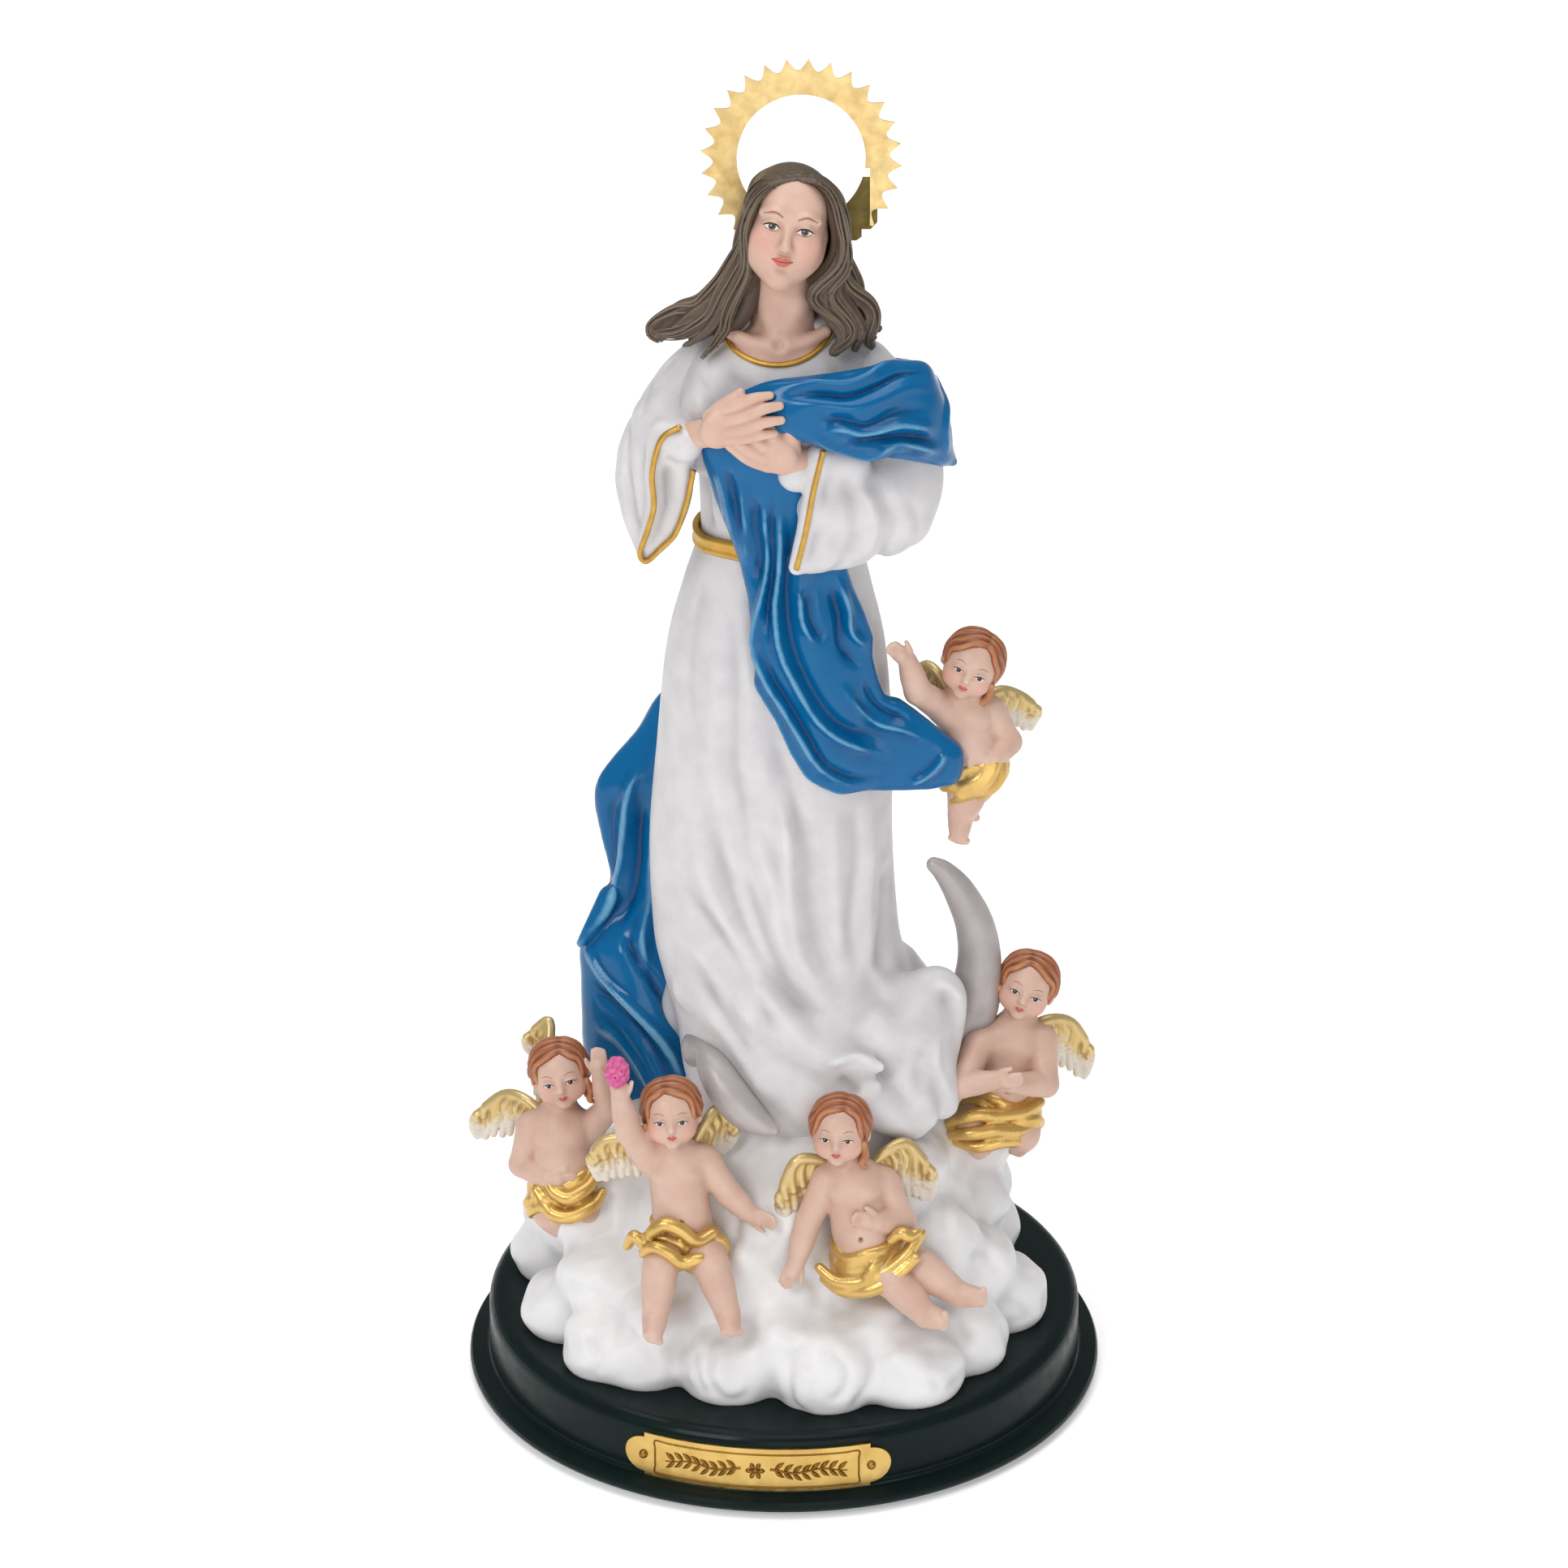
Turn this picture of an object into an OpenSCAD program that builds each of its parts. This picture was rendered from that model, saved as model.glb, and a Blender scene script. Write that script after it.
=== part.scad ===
// Madonna statue: painted resin castings on a turned plinth, with a lift-off sheet-brass halo.
// Millimetres. Origin on the table under the plinth's centre, +Z up, the figure faces -Y.

/* [Plinth] */
// Radius of the plinth's foot flange
flange_r = 69.8; // [68:0.1:72]
// Radius of the plinth's upper tier
tier_r = 65.3; // [62:0.1:66]
// Height of the plinth's top above the table
plinth_h = 17.8; // [16:0.1:20]
// Thickness of the felt pad under the plinth
felt_t = 1; // [0.5:0.1:2]
// Height of the foot flange's upper edge
flange_h = 4.4; // [3.5:0.1:5]
// Radius of the rounded top edge
shoulder_r = 3; // [1:0.1:4]

/* [Nameplate] */
// Angle of the plate from straight ahead, towards the figure's right hand
plate_turn = -5.4; // [-10:0.1:10]
// Half the angle between the plate's square corners
plate_half_angle = 22; // [15:0.5:26]
// Height of the plate
plate_h = 10.8; // [8:0.1:11]
// Thickness of the plate
plate_t = 0.6; // [0.4:0.1:1]
// Radius of the plate's round ends
plate_end_r = 4.3; // [3:0.1:5]
// Height of the plate's middle above the table
plate_z = 9.6; // [9:0.1:10]

/* [Halo] */
// Inner radius of the halo ring
halo_inner_r = 13.5; // [12:0.1:14]
// Radius at the bottom of the teeth
halo_valley_r = 18.5; // [17:0.1:19]
// Radius at the tips of the teeth
halo_tip_r = 21.1; // [20:0.1:22]
// Teeth that a whole circle would have
halo_teeth = 28; // [20:1:36]
// Thickness of the halo's sheet
halo_t = 0.8; // [0.5:0.1:1]
// Lean of the halo away from upright
halo_lean = 14; // [10:1:18]
// Radius of the stem that plugs into the socket
stem_r = 0.8; // [0.6:0.05:1]
// Radial clearance of the stem in its socket
stem_clearance = 0.05; // [0.02:0.01:0.1]

/* [Fasteners] */
// Radius of the plinth screws' shanks
screw_r = 2; // [1.5:0.1:2.5]
// Distance of each plinth screw from the centre
screw_offset = 22; // [15:1:30]
// Radius of the plate pins' heads
pin_head_r = 1; // [0.8:0.1:1.3]

/* [Hidden] */
loft_sides = 28;
ball_facets = 12;
smooth_facets = 96;
eps = 0.01;

// Plinth
foot_round = 1.6;
cove_r = 1.2;
screw_len = 22;
screw_head_r = 3.8;
screw_head_h = 2.4;
screw_gap = 0.15;
pin_r = 0.5;
pin_len = 4;
pin_gap = 0.05;
plate_chord = tier_r * sin(plate_half_angle);

// Halo, in its own plane: x across, y up the plane, z out of its back
halo_centre = [3.6, 16.6, 280.2];
halo_open_x = 14.4;
halo_left_x = 9;
halo_open_y = -15;
bracket_t = 0.7;
bracket_lap = 1.6;
bracket_low = -17.4;
bracket_low_x = 12.7;
stem_top = -15.4;
stem_low = -24.4;
socket_top = bracket_low - 0.2;
socket_low = -25;
socket_r = 1.7;
stem_z = halo_t / 2 + bracket_t + stem_r;

// Body of the figure: rings of [height, centre x, centre y, half width, half depth]
GOWN = [
    [66, 5, -3, 24, 23], [76, 4, -3, 26, 25], [88, 3, -2, 27, 25], [98, 0.5, -1, 27.5, 24],
    [108, -1.7, 0, 27, 22.5], [130, -2.8, 1, 26.5, 21], [152, -2, 1, 25.5, 19.5],
    [175, -1.7, 1, 23.6, 17.5], [190, -1.5, 1, 20, 15], [201, -1, 1, 17.2, 12.6]
];
BELT = [[200.4, -1, 1, 18.2, 13.4], [203, -1, 1, 17.9, 13.2], [205.4, -1, 1, 18, 13.4]];
BODICE = [
    [201.2, -1, 1, 16.6, 12.2], [215, 0, 0.5, 18, 13.5], [228, 1, 0, 19.5, 14],
    [238, 2, 0, 20, 13], [246, 2.5, 1, 17.5, 10.5], [251, 1.5, 1, 9, 7]
];
HEM_LOBES = [[[20, -20, 76], 9], [[33, -10, 82], 9], [[38, -4, 88], 6], [[-12, -20, 82], 7]];

// Limbs and cloth rolls: lists of [point, radius]
RIGHT_SLEEVE = [[[-18, 1, 240], 8], [[-27, -2, 226], 8], [[-26, -12, 216], 7.5], [[-28, -13, 203], 4]];
LEFT_SLEEVE = [[[21, 1, 238], 8], [[27, -6, 216], 9], [[14, -14, 211], 9], [[6, -15, 204], 6]];
SHOULDER_MANTLE = [
    [[-5, -17, 236], 3], [[9, -16, 235], 6], [[21, -10, 234], 9], [[26, -1, 233], 9],
    [[24, 7, 232], 9], [[10, 13, 236], 6]
];
SASH = [
    [[-9, -14, 225], 7], [[-5, -15, 206], 8], [[3, -16, 195], 9], [[7, -18, 180], 11],
    [[13, -18, 164], 12], [[23, -14, 158], 9], [[34, -8, 157], 6]
];
sash_depth = 0.42;
MANTLE_BACK = [
    [62, -30, 11, 12, 6], [78, -29, 13, 17, 9], [95, -27, 15, 19, 9], [104, -22, 17, 19, 8],
    [130, -21, 18, 21, 7], [150, -14, 18, 17, 7], [175, -6, 16, 20, 7], [200, 0, 14, 20, 6],
    [225, 6, 13, 20, 6], [240, 8, 12, 15, 4]
];
CRESCENT = [
    [[32.5, 2, 121.5], 1.8], [[38, 2, 114], 3.4], [[42, 2, 104], 4.4], [[42.5, 1, 94], 5.2],
    [[38, 0, 84], 6], [[24, 0, 75], 6.5], [[4, 0, 72], 7], [[-12, -3, 77], 6.8],
    [[-16.5, -12, 82], 6], [[-15, -22, 79], 5], [[-9.5, -29, 74], 4], [[-4.5, -33, 70.5], 3]
];
NECK = [[[0.3, 0, 246], 9], [[0.3, 0.5, 254], 5.4], [[0.8, 0.8, 264], 5.2]];
head_centre = [0.8, -0.8, 274.5];
head_size = [8.8, 10.2, 12];
head_roll = 11;
head_pitch = -10;
HAIR_CROWN = [[[1.8, 2.6, 276.5], 9.6], [[1.4, 3.2, 268], 8.2], [[0.8, 4.4, 256], 7.6], [[0, 5, 246], 7]];
HAIR_RIGHT = [[[-8, 1.5, 273], 3.6], [[-11.5, 1, 259], 4.4], [[-17, -1, 251.5], 4.2], [[-24.5, -3, 249.5], 3]];
HAIR_LEFT = [[[10.5, 1.5, 272], 3.4], [[12, 0.5, 260], 4.4], [[15.5, -2, 252], 4.2], [[19.5, -2, 247.5], 3]];
face_cut = 7.4;
RIGHT_HAND = [[[-21.5, -15, 224], 4], [[-15, -19, 228.5], 3.8], [[-9, -21, 232], 3], [[-2, -21.5, 235.5], 1.8]];
LEFT_HAND = [[[5, -16, 219.5], 4], [[-1, -18.5, 223.5], 3.8], [[-7, -19.5, 226], 3], [[-12, -18.5, 226.5], 1.8]];
NECK_TRIM_ARC = [0.4, -1, 244, 13.6, 12.2, 5.6];
trim_r = 0.9;
RIGHT_TRIM = [
    [[-25, -17.5, 225], trim_r], [[-28, -18.5, 215], trim_r], [[-30.5, -17, 203], trim_r],
    [[-26.5, -17, 201], trim_r], [[-21, -17.5, 207], trim_r], [[-19.5, -17.5, 219], trim_r]
];
LEFT_TRIM = [
    [[8, -21.5, 226], trim_r], [[5.5, -22, 216], trim_r], [[3.5, -21, 206], trim_r],
    [[2, -18.5, 198.5], trim_r]
];

// Cloud: a core of level rings, and tiers of lobes, each
// [height, centre x, tier radius, lobe radius, lobe count, first angle]
CLOUD_CORE = [
    [plinth_h, 0, 0, 50, 50], [27, 0, 0, 52, 51], [40, 1, -1, 48, 45],
    [54, 3, -1, 43, 38], [64, 4, -2, 36, 32], [76, 4, -1, 26, 25]
];
CLOUD_TIERS = [[25, 0, 47, 10, 15, 8], [40, 1, 40, 9, 12, 20], [54, 4, 35, 8.5, 9, 0]];

// Cherubs: each has points for its head, chest, pelvis, then each limb's joints,
// each wing's crest and tip, and the turn of its head
HEAD = 1; CHEST = 2; PELVIS = 3; RIGHT_ARM = 4; LEFT_ARM = 5; RIGHT_LEG = 6; LEFT_LEG = 7; WINGS = 8; TURN = 9;
CHERUBS = [
    ["flying_cherub", [40, -4, 172.5], [38, -4, 159], [41, -4, 149.5],
        [[32.5, -7, 162.5], [27.5, -11, 170], [25.5, -12.5, 179.5]],
        [[44, -3, 159.5], [48, -4, 152.5], [45, -9, 151.5]],
        [[39.5, -5, 147], [40.5, -7, 141], [38.5, -6, 133.5]],
        [[43, -3, 147], [44, -4, 143], [42, -2, 138]],
        [[[50, 6, 161], [54, 8, 153]], [[30, 4, 170], [28, 4, 166]]], -20],
    ["right_cherub", [52, 2, 92], [48.5, 0, 77], [47.5, -2, 65.5],
        [[42.5, -1, 82], [38.8, -7, 78.5], [45, -11, 77.5]],
        [[56, 1, 79.5], [57.5, -3, 71], [48.5, -11.5, 74.5]],
        [[45, -3, 63], [44, -8, 60], [42, -6, 54]],
        [[50, -3, 63], [52, -6, 60.5], [52.5, -4, 55.5]],
        [[[62, 8, 81], [66, 11, 70]], [[38, 8, 84], [35, 9, 76]]], -12],
    ["left_cherub", [-48.8, -8, 75.5], [-49, -9, 58], [-47.5, -11, 49.5],
        [[-55.5, -8.5, 60], [-58, -9, 51], [-54.5, -14, 46]],
        [[-42, -9, 60.5], [-37.5, -12, 68], [-40, -12.5, 81]],
        [[-50, -12, 47.5], [-51, -16, 45], [-49, -14, 38]],
        [[-45, -12, 47.5], [-42.5, -16, 46], [-41, -16, 39]],
        [[[-61, 1, 65], [-65.5, 3, 55]], [[-42, 1, 72], [-38, 3, 64]]], 12],
    ["seated_cherub", [-24.2, -34, 80], [-23, -35.5, 66.5], [-21.5, -36.5, 51.5],
        [[-29.5, -35.5, 69], [-33, -38, 77.5], [-35.2, -40, 87.5]],
        [[-17.2, -35.5, 68.5], [-11.8, -37, 61.5], [-5.8, -39.5, 57]],
        [[-24.5, -38, 50.5], [-26.5, -46.5, 48], [-29.2, -50, 37]],
        [[-18.5, -38, 50.5], [-15.5, -46.5, 48.8], [-11, -50, 39]],
        [[[-14, -27, 76], [-10, -27, 68]], [[-34, -27, 72], [-36, -28, 64]]], 4],
    ["reclining_cherub", [12, -36, 77], [15.5, -37, 62], [17.5, -39.5, 48],
        [[9.2, -37, 64.5], [5.5, -40, 55], [2, -43.5, 45.5]],
        [[22.3, -36, 62], [26.5, -39, 53.5], [20, -43, 59.5]],
        [[18, -41, 46.5], [24.5, -46.5, 45], [32, -49.5, 38]],
        [[20, -38, 46.5], [30.5, -42.5, 46], [41, -45, 40]],
        [[[4, -30, 67], [1.5, -31, 56]], [[27, -29, 70], [31, -29, 62]]], -10]
];
cherub_head_r = 6.9;
cherub_arm_r = [2.7, 2.2, 1.8];
cherub_leg_r = [3.8, 3.1, 2.2];
flower_centre = [-35.6, -40.5, 93.6];
flower_r = 2.4;

CHERUB_PARTS = ["body", "hair", "drape", "wings"];

// A ball and a bar with two round ends
module ball(p, r) { translate(p) sphere(r, $fn = ball_facets); }

module bar(p, q) {
    hull() {
        ball(p[0], p[1]);
        ball(q[0], q[1]);
    }
}

// Bars end to end through a list of [point, radius]
module chain(joints) {
    for (i = [0 : len(joints) - 2])
        bar(joints[i], joints[i + 1]);
}

function with_radii(points, radii) = [for (i = [0 : len(points) - 1]) [points[i], radii[i]]];

function ring_point(r, k) = [
    r[1] + r[3] * cos(360 * k / loft_sides),
    r[2] + r[4] * sin(360 * k / loft_sides),
    r[0]
];

// A closed skin through level oval rings, lowest ring first
module loft(rings) {
    last = len(rings) - 1;
    n = loft_sides;
    skin = [for (i = [0 : last - 1], k = [0 : n - 1]) each [
        [i * n + k, (i + 1) * n + k, (i + 1) * n + (k + 1) % n],
        [i * n + k, (i + 1) * n + (k + 1) % n, i * n + (k + 1) % n]
    ]];
    polyhedron(
        points = [for (r = rings, k = [0 : n - 1]) ring_point(r, k)],
        faces = concat(skin, [[for (k = [0 : n - 1]) k]], [[for (k = [n - 1 : -1 : 0]) last * n + k]])
    );
}

function arc(cx, cy, r, from, to, steps) = [
    for (i = [0 : steps]) let (a = from + (to - from) * i / steps) [cx + r * cos(a), cy + r * sin(a)]
];

// ---- Plinth ----

module felt_pad() {
    color("darkgreen") cylinder(h = felt_t, r = flange_r - 3, $fn = smooth_facets);
}

module at_screws() {
    for (side = [-1, 1])
        translate([side * screw_offset, 0, 0])
            children();
}

module plinth() {
    outline = concat(
        [[0, felt_t], [flange_r - foot_round, felt_t]],
        arc(flange_r - foot_round, felt_t + foot_round, foot_round, -90, 45, 5),
        arc(tier_r + cove_r, flange_h + cove_r, cove_r, -90, -180, 4),
        arc(tier_r - shoulder_r, plinth_h - shoulder_r, shoulder_r, 0, 90, 6),
        [[0, plinth_h]]
    );
    color("darkslategray") difference() {
        rotate_extrude($fn = smooth_facets) polygon(outline);
        at_screws() {
            translate([0, 0, felt_t - eps]) cylinder(h = plinth_h, r = screw_r + screw_gap, $fn = 32);
            translate([0, 0, felt_t - eps]) cylinder(
                h = screw_head_h + screw_gap,
                r = screw_head_r + screw_gap,
                $fn = 32
            );
        }
        at_pins() translate([0, 0, -1]) cylinder(h = 1 + pin_len + pin_gap, r = pin_r + pin_gap, $fn = 24);
    }
}

module plinth_screws() {
    color("gray") at_screws() {
        translate([0, 0, felt_t + eps]) cylinder(h = screw_head_h, r = screw_head_r, $fn = 32);
        translate([0, 0, felt_t + screw_head_h]) cylinder(h = screw_len, r = screw_r, $fn = 32);
    }
}

// ---- Nameplate ----

// Places children at each pin, with +Z pointing into the plinth from the tier's face
module at_pins() {
    for (side = [-1, 1])
        rotate([0, 0, plate_turn + side * plate_half_angle])
            translate([0, -tier_r, plate_z])
                rotate([-90, 0, 0])
                    children();
}

module nameplate() {
    color("gold") difference() {
        intersection() {
            difference() {
                cylinder(h = plinth_h, r = tier_r + plate_t, $fn = smooth_facets);
                translate([0, 0, -eps]) cylinder(h = plinth_h + 1, r = tier_r, $fn = smooth_facets);
            }
            rotate([0, 0, plate_turn]) translate([0, 0, plate_z]) rotate([90, 0, 0])
                linear_extrude(height = flange_r) {
                    square([2 * plate_chord, plate_h], center = true);
                    for (side = [-1, 1])
                        translate([side * plate_chord, 0]) circle(plate_end_r, $fn = 48);
                }
        }
        at_pins() translate([0, 0, -pin_len]) cylinder(h = 2 * pin_len, r = pin_r + pin_gap, $fn = 24);
    }
}

module nameplate_pins() {
    seat = plate_t + pin_gap;
    color("goldenrod") at_pins() translate([0, 0, -seat]) {
        cylinder(h = seat + pin_len, r = pin_r, $fn = 24);
        intersection() {
            sphere(pin_head_r, $fn = 32);
            translate([0, 0, -2 * pin_head_r]) cylinder(h = 2 * pin_head_r, r = 2 * pin_head_r, $fn = 32);
        }
    }
}

// ---- Cloud and crescent ----

module cloud() {
    color("white") difference() {
        union() {
            loft(CLOUD_CORE);
            for (t = CLOUD_TIERS, k = [0 : t[4] - 1]) {
                a = t[5] + 360 * k / t[4];
                spot = [t[1] + t[2] * cos(a), t[2] * sin(a), t[0]];
                bar([spot, t[3]], [[spot[0] * 0.8, spot[1] * 0.8, t[0] + 5], t[3] * 0.9]);
            }
        }
        translate([-flange_r, -flange_r, -1]) cube([2 * flange_r, 2 * flange_r, plinth_h + 1]);
    }
}

module crescent_moon() {
    color("silver") chain(CRESCENT);
}

// ---- Dress ----

module gown() {
    color("whitesmoke") union() {
        loft(GOWN);
        for (lobe = HEM_LOBES)
            ball(lobe[0], lobe[1]);
    }
}

module belt() {
    color("gold") difference() {
        loft(BELT);
        loft([for (r = BELT) [r[0] + (r[0] - 203) * 0.1, r[1], r[2], r[3] - 1.4, r[4] - 1.4]]);
    }
}

module bodice() { color("white") loft(BODICE); }

module right_sleeve() { color("white") chain(RIGHT_SLEEVE); }

module left_sleeve() { color("white") chain(LEFT_SLEEVE); }

module sleeve_trims() {
    color("gold") {
        chain(RIGHT_TRIM);
        chain(LEFT_TRIM);
    }
}

// A gold edge that dips at the throat and rises over the shoulders
module neck_trim() {
    a = NECK_TRIM_ARC;
    steps = 12;
    color("gold") chain([for (i = [0 : steps]) let (t = 180 + 180 * i / steps)
        [[a[0] + a[3] * cos(t), a[1] + a[4] * sin(t), a[2] + a[5] * (1 + sin(t))], trim_r]]);
}

// ---- Mantle ----

module shoulder_mantle() { color("royalblue") chain(SHOULDER_MANTLE); }

module mantle_sash() {
    color("royalblue") for (i = [0 : len(SASH) - 2])
        hull() for (s = [SASH[i], SASH[i + 1]])
            translate(s[0]) scale([1, sash_depth, 1]) sphere(s[1], $fn = ball_facets);
}

module mantle_back() { color("royalblue") loft(MANTLE_BACK); }

// ---- Head, hair and hands ----

module head() {
    color("bisque") union() {
        chain(NECK);
        translate(head_centre) rotate([head_pitch, head_roll, 0]) hull() {
            translate([0, 1, 2]) scale([head_size[0], head_size[1] - 1, head_size[2] - 2]) sphere(1, $fn = 20);
            translate([0, -5, -7]) sphere(4.4, $fn = 16);
        }
    }
}

module hair() {
    color("dimgray") difference() {
        union() {
            chain(HAIR_CROWN);
            chain(HAIR_RIGHT);
            chain(HAIR_LEFT);
        }
        translate(head_centre) rotate([head_pitch, head_roll, 0])
            translate([0, -9, -2.5]) scale([1, 1, 1.35]) sphere(face_cut, $fn = 20);
        halo_plane() translate([0, socket_low, stem_z]) rotate([-90, 0, 0])
            cylinder(h = halo_tip_r, r = socket_r, $fn = 32);
    }
}

module right_hand() { color("bisque") chain(RIGHT_HAND); }

module left_hand() { color("bisque") chain(LEFT_HAND); }

// ---- Halo ----

// Turns a drawing with x across and y up into the halo's leaning plane, with +Z behind it
module halo_plane() {
    translate(halo_centre) rotate([-halo_lean, 0, 0]) rotate([90, 0, 0]) mirror([0, 0, 1]) children();
}

// Pointed teeth with rounded valleys between them
function tooth_r(a) = halo_valley_r + (halo_tip_r - halo_valley_r) * (1 - abs(sin(a * halo_teeth / 2)));

module halo() {
    steps_per_tooth = 8;
    count = halo_teeth * steps_per_tooth;
    color("gold") halo_plane() translate([0, 0, -halo_t / 2]) linear_extrude(height = halo_t) difference() {
        polygon([for (i = [0 : count - 1]) let (a = 360 * i / count)
            [tooth_r(a) * cos(a - 4.3), tooth_r(a) * sin(a - 4.3)]]);
        circle(halo_inner_r, $fn = smooth_facets);
        translate([-halo_left_x, -2 * halo_tip_r])
            square([halo_left_x + halo_open_x, 2 * halo_tip_r - 2]);
        translate([-2 * halo_tip_r, -2 * halo_tip_r]) square([4 * halo_tip_r, 2 * halo_tip_r + halo_open_y]);
    }
}

module halo_bracket() {
    wide = halo_open_x + bracket_lap;
    color("darkgoldenrod") halo_plane() translate([0, 0, halo_t / 2]) linear_extrude(height = bracket_t) difference() {
        intersection() {
            circle(halo_valley_r + 2.4, $fn = smooth_facets);
            union() {
                translate([0, halo_open_y]) square([wide, -halo_open_y - 4]);
                translate([-bracket_low_x, bracket_low]) square([2 * bracket_low_x, 10]);
            }
        }
        circle(halo_inner_r, $fn = smooth_facets);
    }
}

module halo_stem() {
    color("goldenrod") halo_plane() translate([0, stem_low, stem_z]) rotate([-90, 0, 0])
        cylinder(h = stem_top - stem_low, r = stem_r, $fn = 24);
}

module halo_socket() {
    color("goldenrod") halo_plane() translate([0, 0, stem_z]) rotate([-90, 0, 0]) difference() {
        translate([0, 0, socket_low]) cylinder(h = socket_top - socket_low, r = socket_r, $fn = 32);
        translate([0, 0, stem_low - 0.1]) cylinder(h = 20, r = stem_r + stem_clearance, $fn = 24);
    }
}

// ---- Cherubs ----

module cherub_body(c) {
    color("bisque") union() {
        ball(c[HEAD], cherub_head_r);
        chain([[c[HEAD] - [0, 0, 4], 4], [c[CHEST] + [0, 0, 1.5], 5], [c[PELVIS] + [0, 0, 4], 5.2], [c[PELVIS], 5.4]]);
        chain(with_radii(c[RIGHT_ARM], cherub_arm_r));
        chain(with_radii(c[LEFT_ARM], cherub_arm_r));
        chain(with_radii(c[RIGHT_LEG], cherub_leg_r));
        chain(with_radii(c[LEFT_LEG], cherub_leg_r));
    }
}

module cherub_hair(c) {
    color("sienna") translate(c[HEAD]) rotate([0, 0, c[TURN]]) difference() {
        translate([0, 1, 0.6]) scale([1, 1, 1.05]) sphere(cherub_head_r + 0.6, $fn = 20);
        translate([0, -5.5, -1.2]) scale([1, 1, 1.2]) sphere(cherub_head_r - 0.6, $fn = 20);
        translate([-10, -10, -16]) cube([20, 20, 10]);
        sphere(cherub_head_r - 1, $fn = ball_facets);
    }
}

module cherub_drape(c) {
    color("gold") union() {
        bar([c[PELVIS] + [0, 0, 0.6], 6], [c[PELVIS] - [0, 0, 1], 5.8]);
        for (leg = [c[RIGHT_LEG], c[LEFT_LEG]])
            bar([leg[0], cherub_leg_r[0] + 1], [leg[0] * 0.5 + leg[1] * 0.5, cherub_leg_r[1] + 1.2]);
    }
}

module cherub_wings(c) {
    color("khaki") for (w = c[WINGS]) {
        side = sign(w[0][0] - c[CHEST][0]);
        root = c[CHEST] + [side * 2.4, 3.2, 2.5];
        hull() {
            ball(root, 1.6);
            ball(w[0], 1.5);
            ball(w[1], 1);
            ball(root * 0.4 + w[1] * 0.6 - [0, 0, 3], 1);
        }
    }
}

module flower() {
    color("hotpink") union() {
        ball(flower_centre, flower_r);
        bar([CHERUBS[3][RIGHT_ARM][2], 0.9], [flower_centre, 0.7]);
        for (k = [0 : 5])
            ball(flower_centre + [2 * cos(60 * k), -0.6, 2.4 * sin(60 * k)], flower_r * 0.62);
    }
}

felt_pad();
plinth();
plinth_screws();
nameplate();
nameplate_pins();
cloud();
crescent_moon();
gown();
belt();
bodice();
right_sleeve();
left_sleeve();
sleeve_trims();
neck_trim();
shoulder_mantle();
mantle_sash();
mantle_back();
head();
hair();
right_hand();
left_hand();
halo_socket();
halo();
halo_bracket();
halo_stem();
flower();
for (c = CHERUBS) {
    cherub_body(c);
    cherub_hair(c);
    cherub_drape(c);
    cherub_wings(c);
}
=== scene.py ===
"""Madonna statue: the looks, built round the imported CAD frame.

Sizes are in millimetres until a mesh is made.
"""

import math

import bpy
import numpy as np
from mathutils import Matrix, Vector
from mathutils.bvhtree import BVHTree


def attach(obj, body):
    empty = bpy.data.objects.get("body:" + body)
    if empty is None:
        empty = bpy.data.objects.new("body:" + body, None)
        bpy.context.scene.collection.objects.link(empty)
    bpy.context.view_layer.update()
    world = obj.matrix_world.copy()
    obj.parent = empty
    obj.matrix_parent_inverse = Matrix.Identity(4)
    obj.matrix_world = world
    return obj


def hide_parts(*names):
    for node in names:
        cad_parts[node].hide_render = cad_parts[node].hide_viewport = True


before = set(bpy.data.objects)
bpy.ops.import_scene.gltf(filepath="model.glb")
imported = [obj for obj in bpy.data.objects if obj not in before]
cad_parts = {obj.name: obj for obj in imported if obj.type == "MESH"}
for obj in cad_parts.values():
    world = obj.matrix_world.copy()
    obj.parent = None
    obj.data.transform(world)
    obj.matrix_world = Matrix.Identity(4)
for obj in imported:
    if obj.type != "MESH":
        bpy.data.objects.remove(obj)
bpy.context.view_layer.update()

MM = 0.001
TURN = 2 * math.pi
FINE = 1.0  # how much coarser than final the sculpting grids are
EMPTY = 9.0  # the distance that a blank sculpting grid holds
RAY_START = 150  # how far in front of a surface a ray sets out


# ---------------------------------------------------------------- camera

CAMERA_BACK = 1600.0  # distance in front of the axis, mm
CAMERA_HEIGHT = 947.4
CAMERA_PITCH = 26.72  # degrees below the horizon
FIELD_MM_AT_1M = 188.2  # width of the view at one metre


def make_camera():
    data = bpy.data.cameras.new("camera")
    data.sensor_width = 36.0
    data.lens = data.sensor_width * 1000.0 / FIELD_MM_AT_1M
    data.clip_start, data.clip_end = 0.1, 20.0
    camera = bpy.data.objects.new("camera", data)
    camera.location = (0.0, -CAMERA_BACK * MM, CAMERA_HEIGHT * MM)
    camera.rotation_euler = (math.radians(90.0 - CAMERA_PITCH), 0.0, 0.0)
    bpy.context.scene.collection.objects.link(camera)
    bpy.context.scene.camera = camera


make_camera()


# ---------------------------------------------------------------- clay: solids on a grid


def vec(*values):
    return np.array(values, np.float32)


def turn(roll=0.0, pitch=0.0, yaw=0.0):
    """Rotation matrix: roll about Y, then pitch about X, then yaw about Z, in degrees."""
    m = Matrix.Rotation(math.radians(yaw), 3, "Z")
    m = m @ Matrix.Rotation(math.radians(pitch), 3, "X")
    m = m @ Matrix.Rotation(math.radians(roll), 3, "Y")
    return np.array(m, np.float32)


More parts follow.
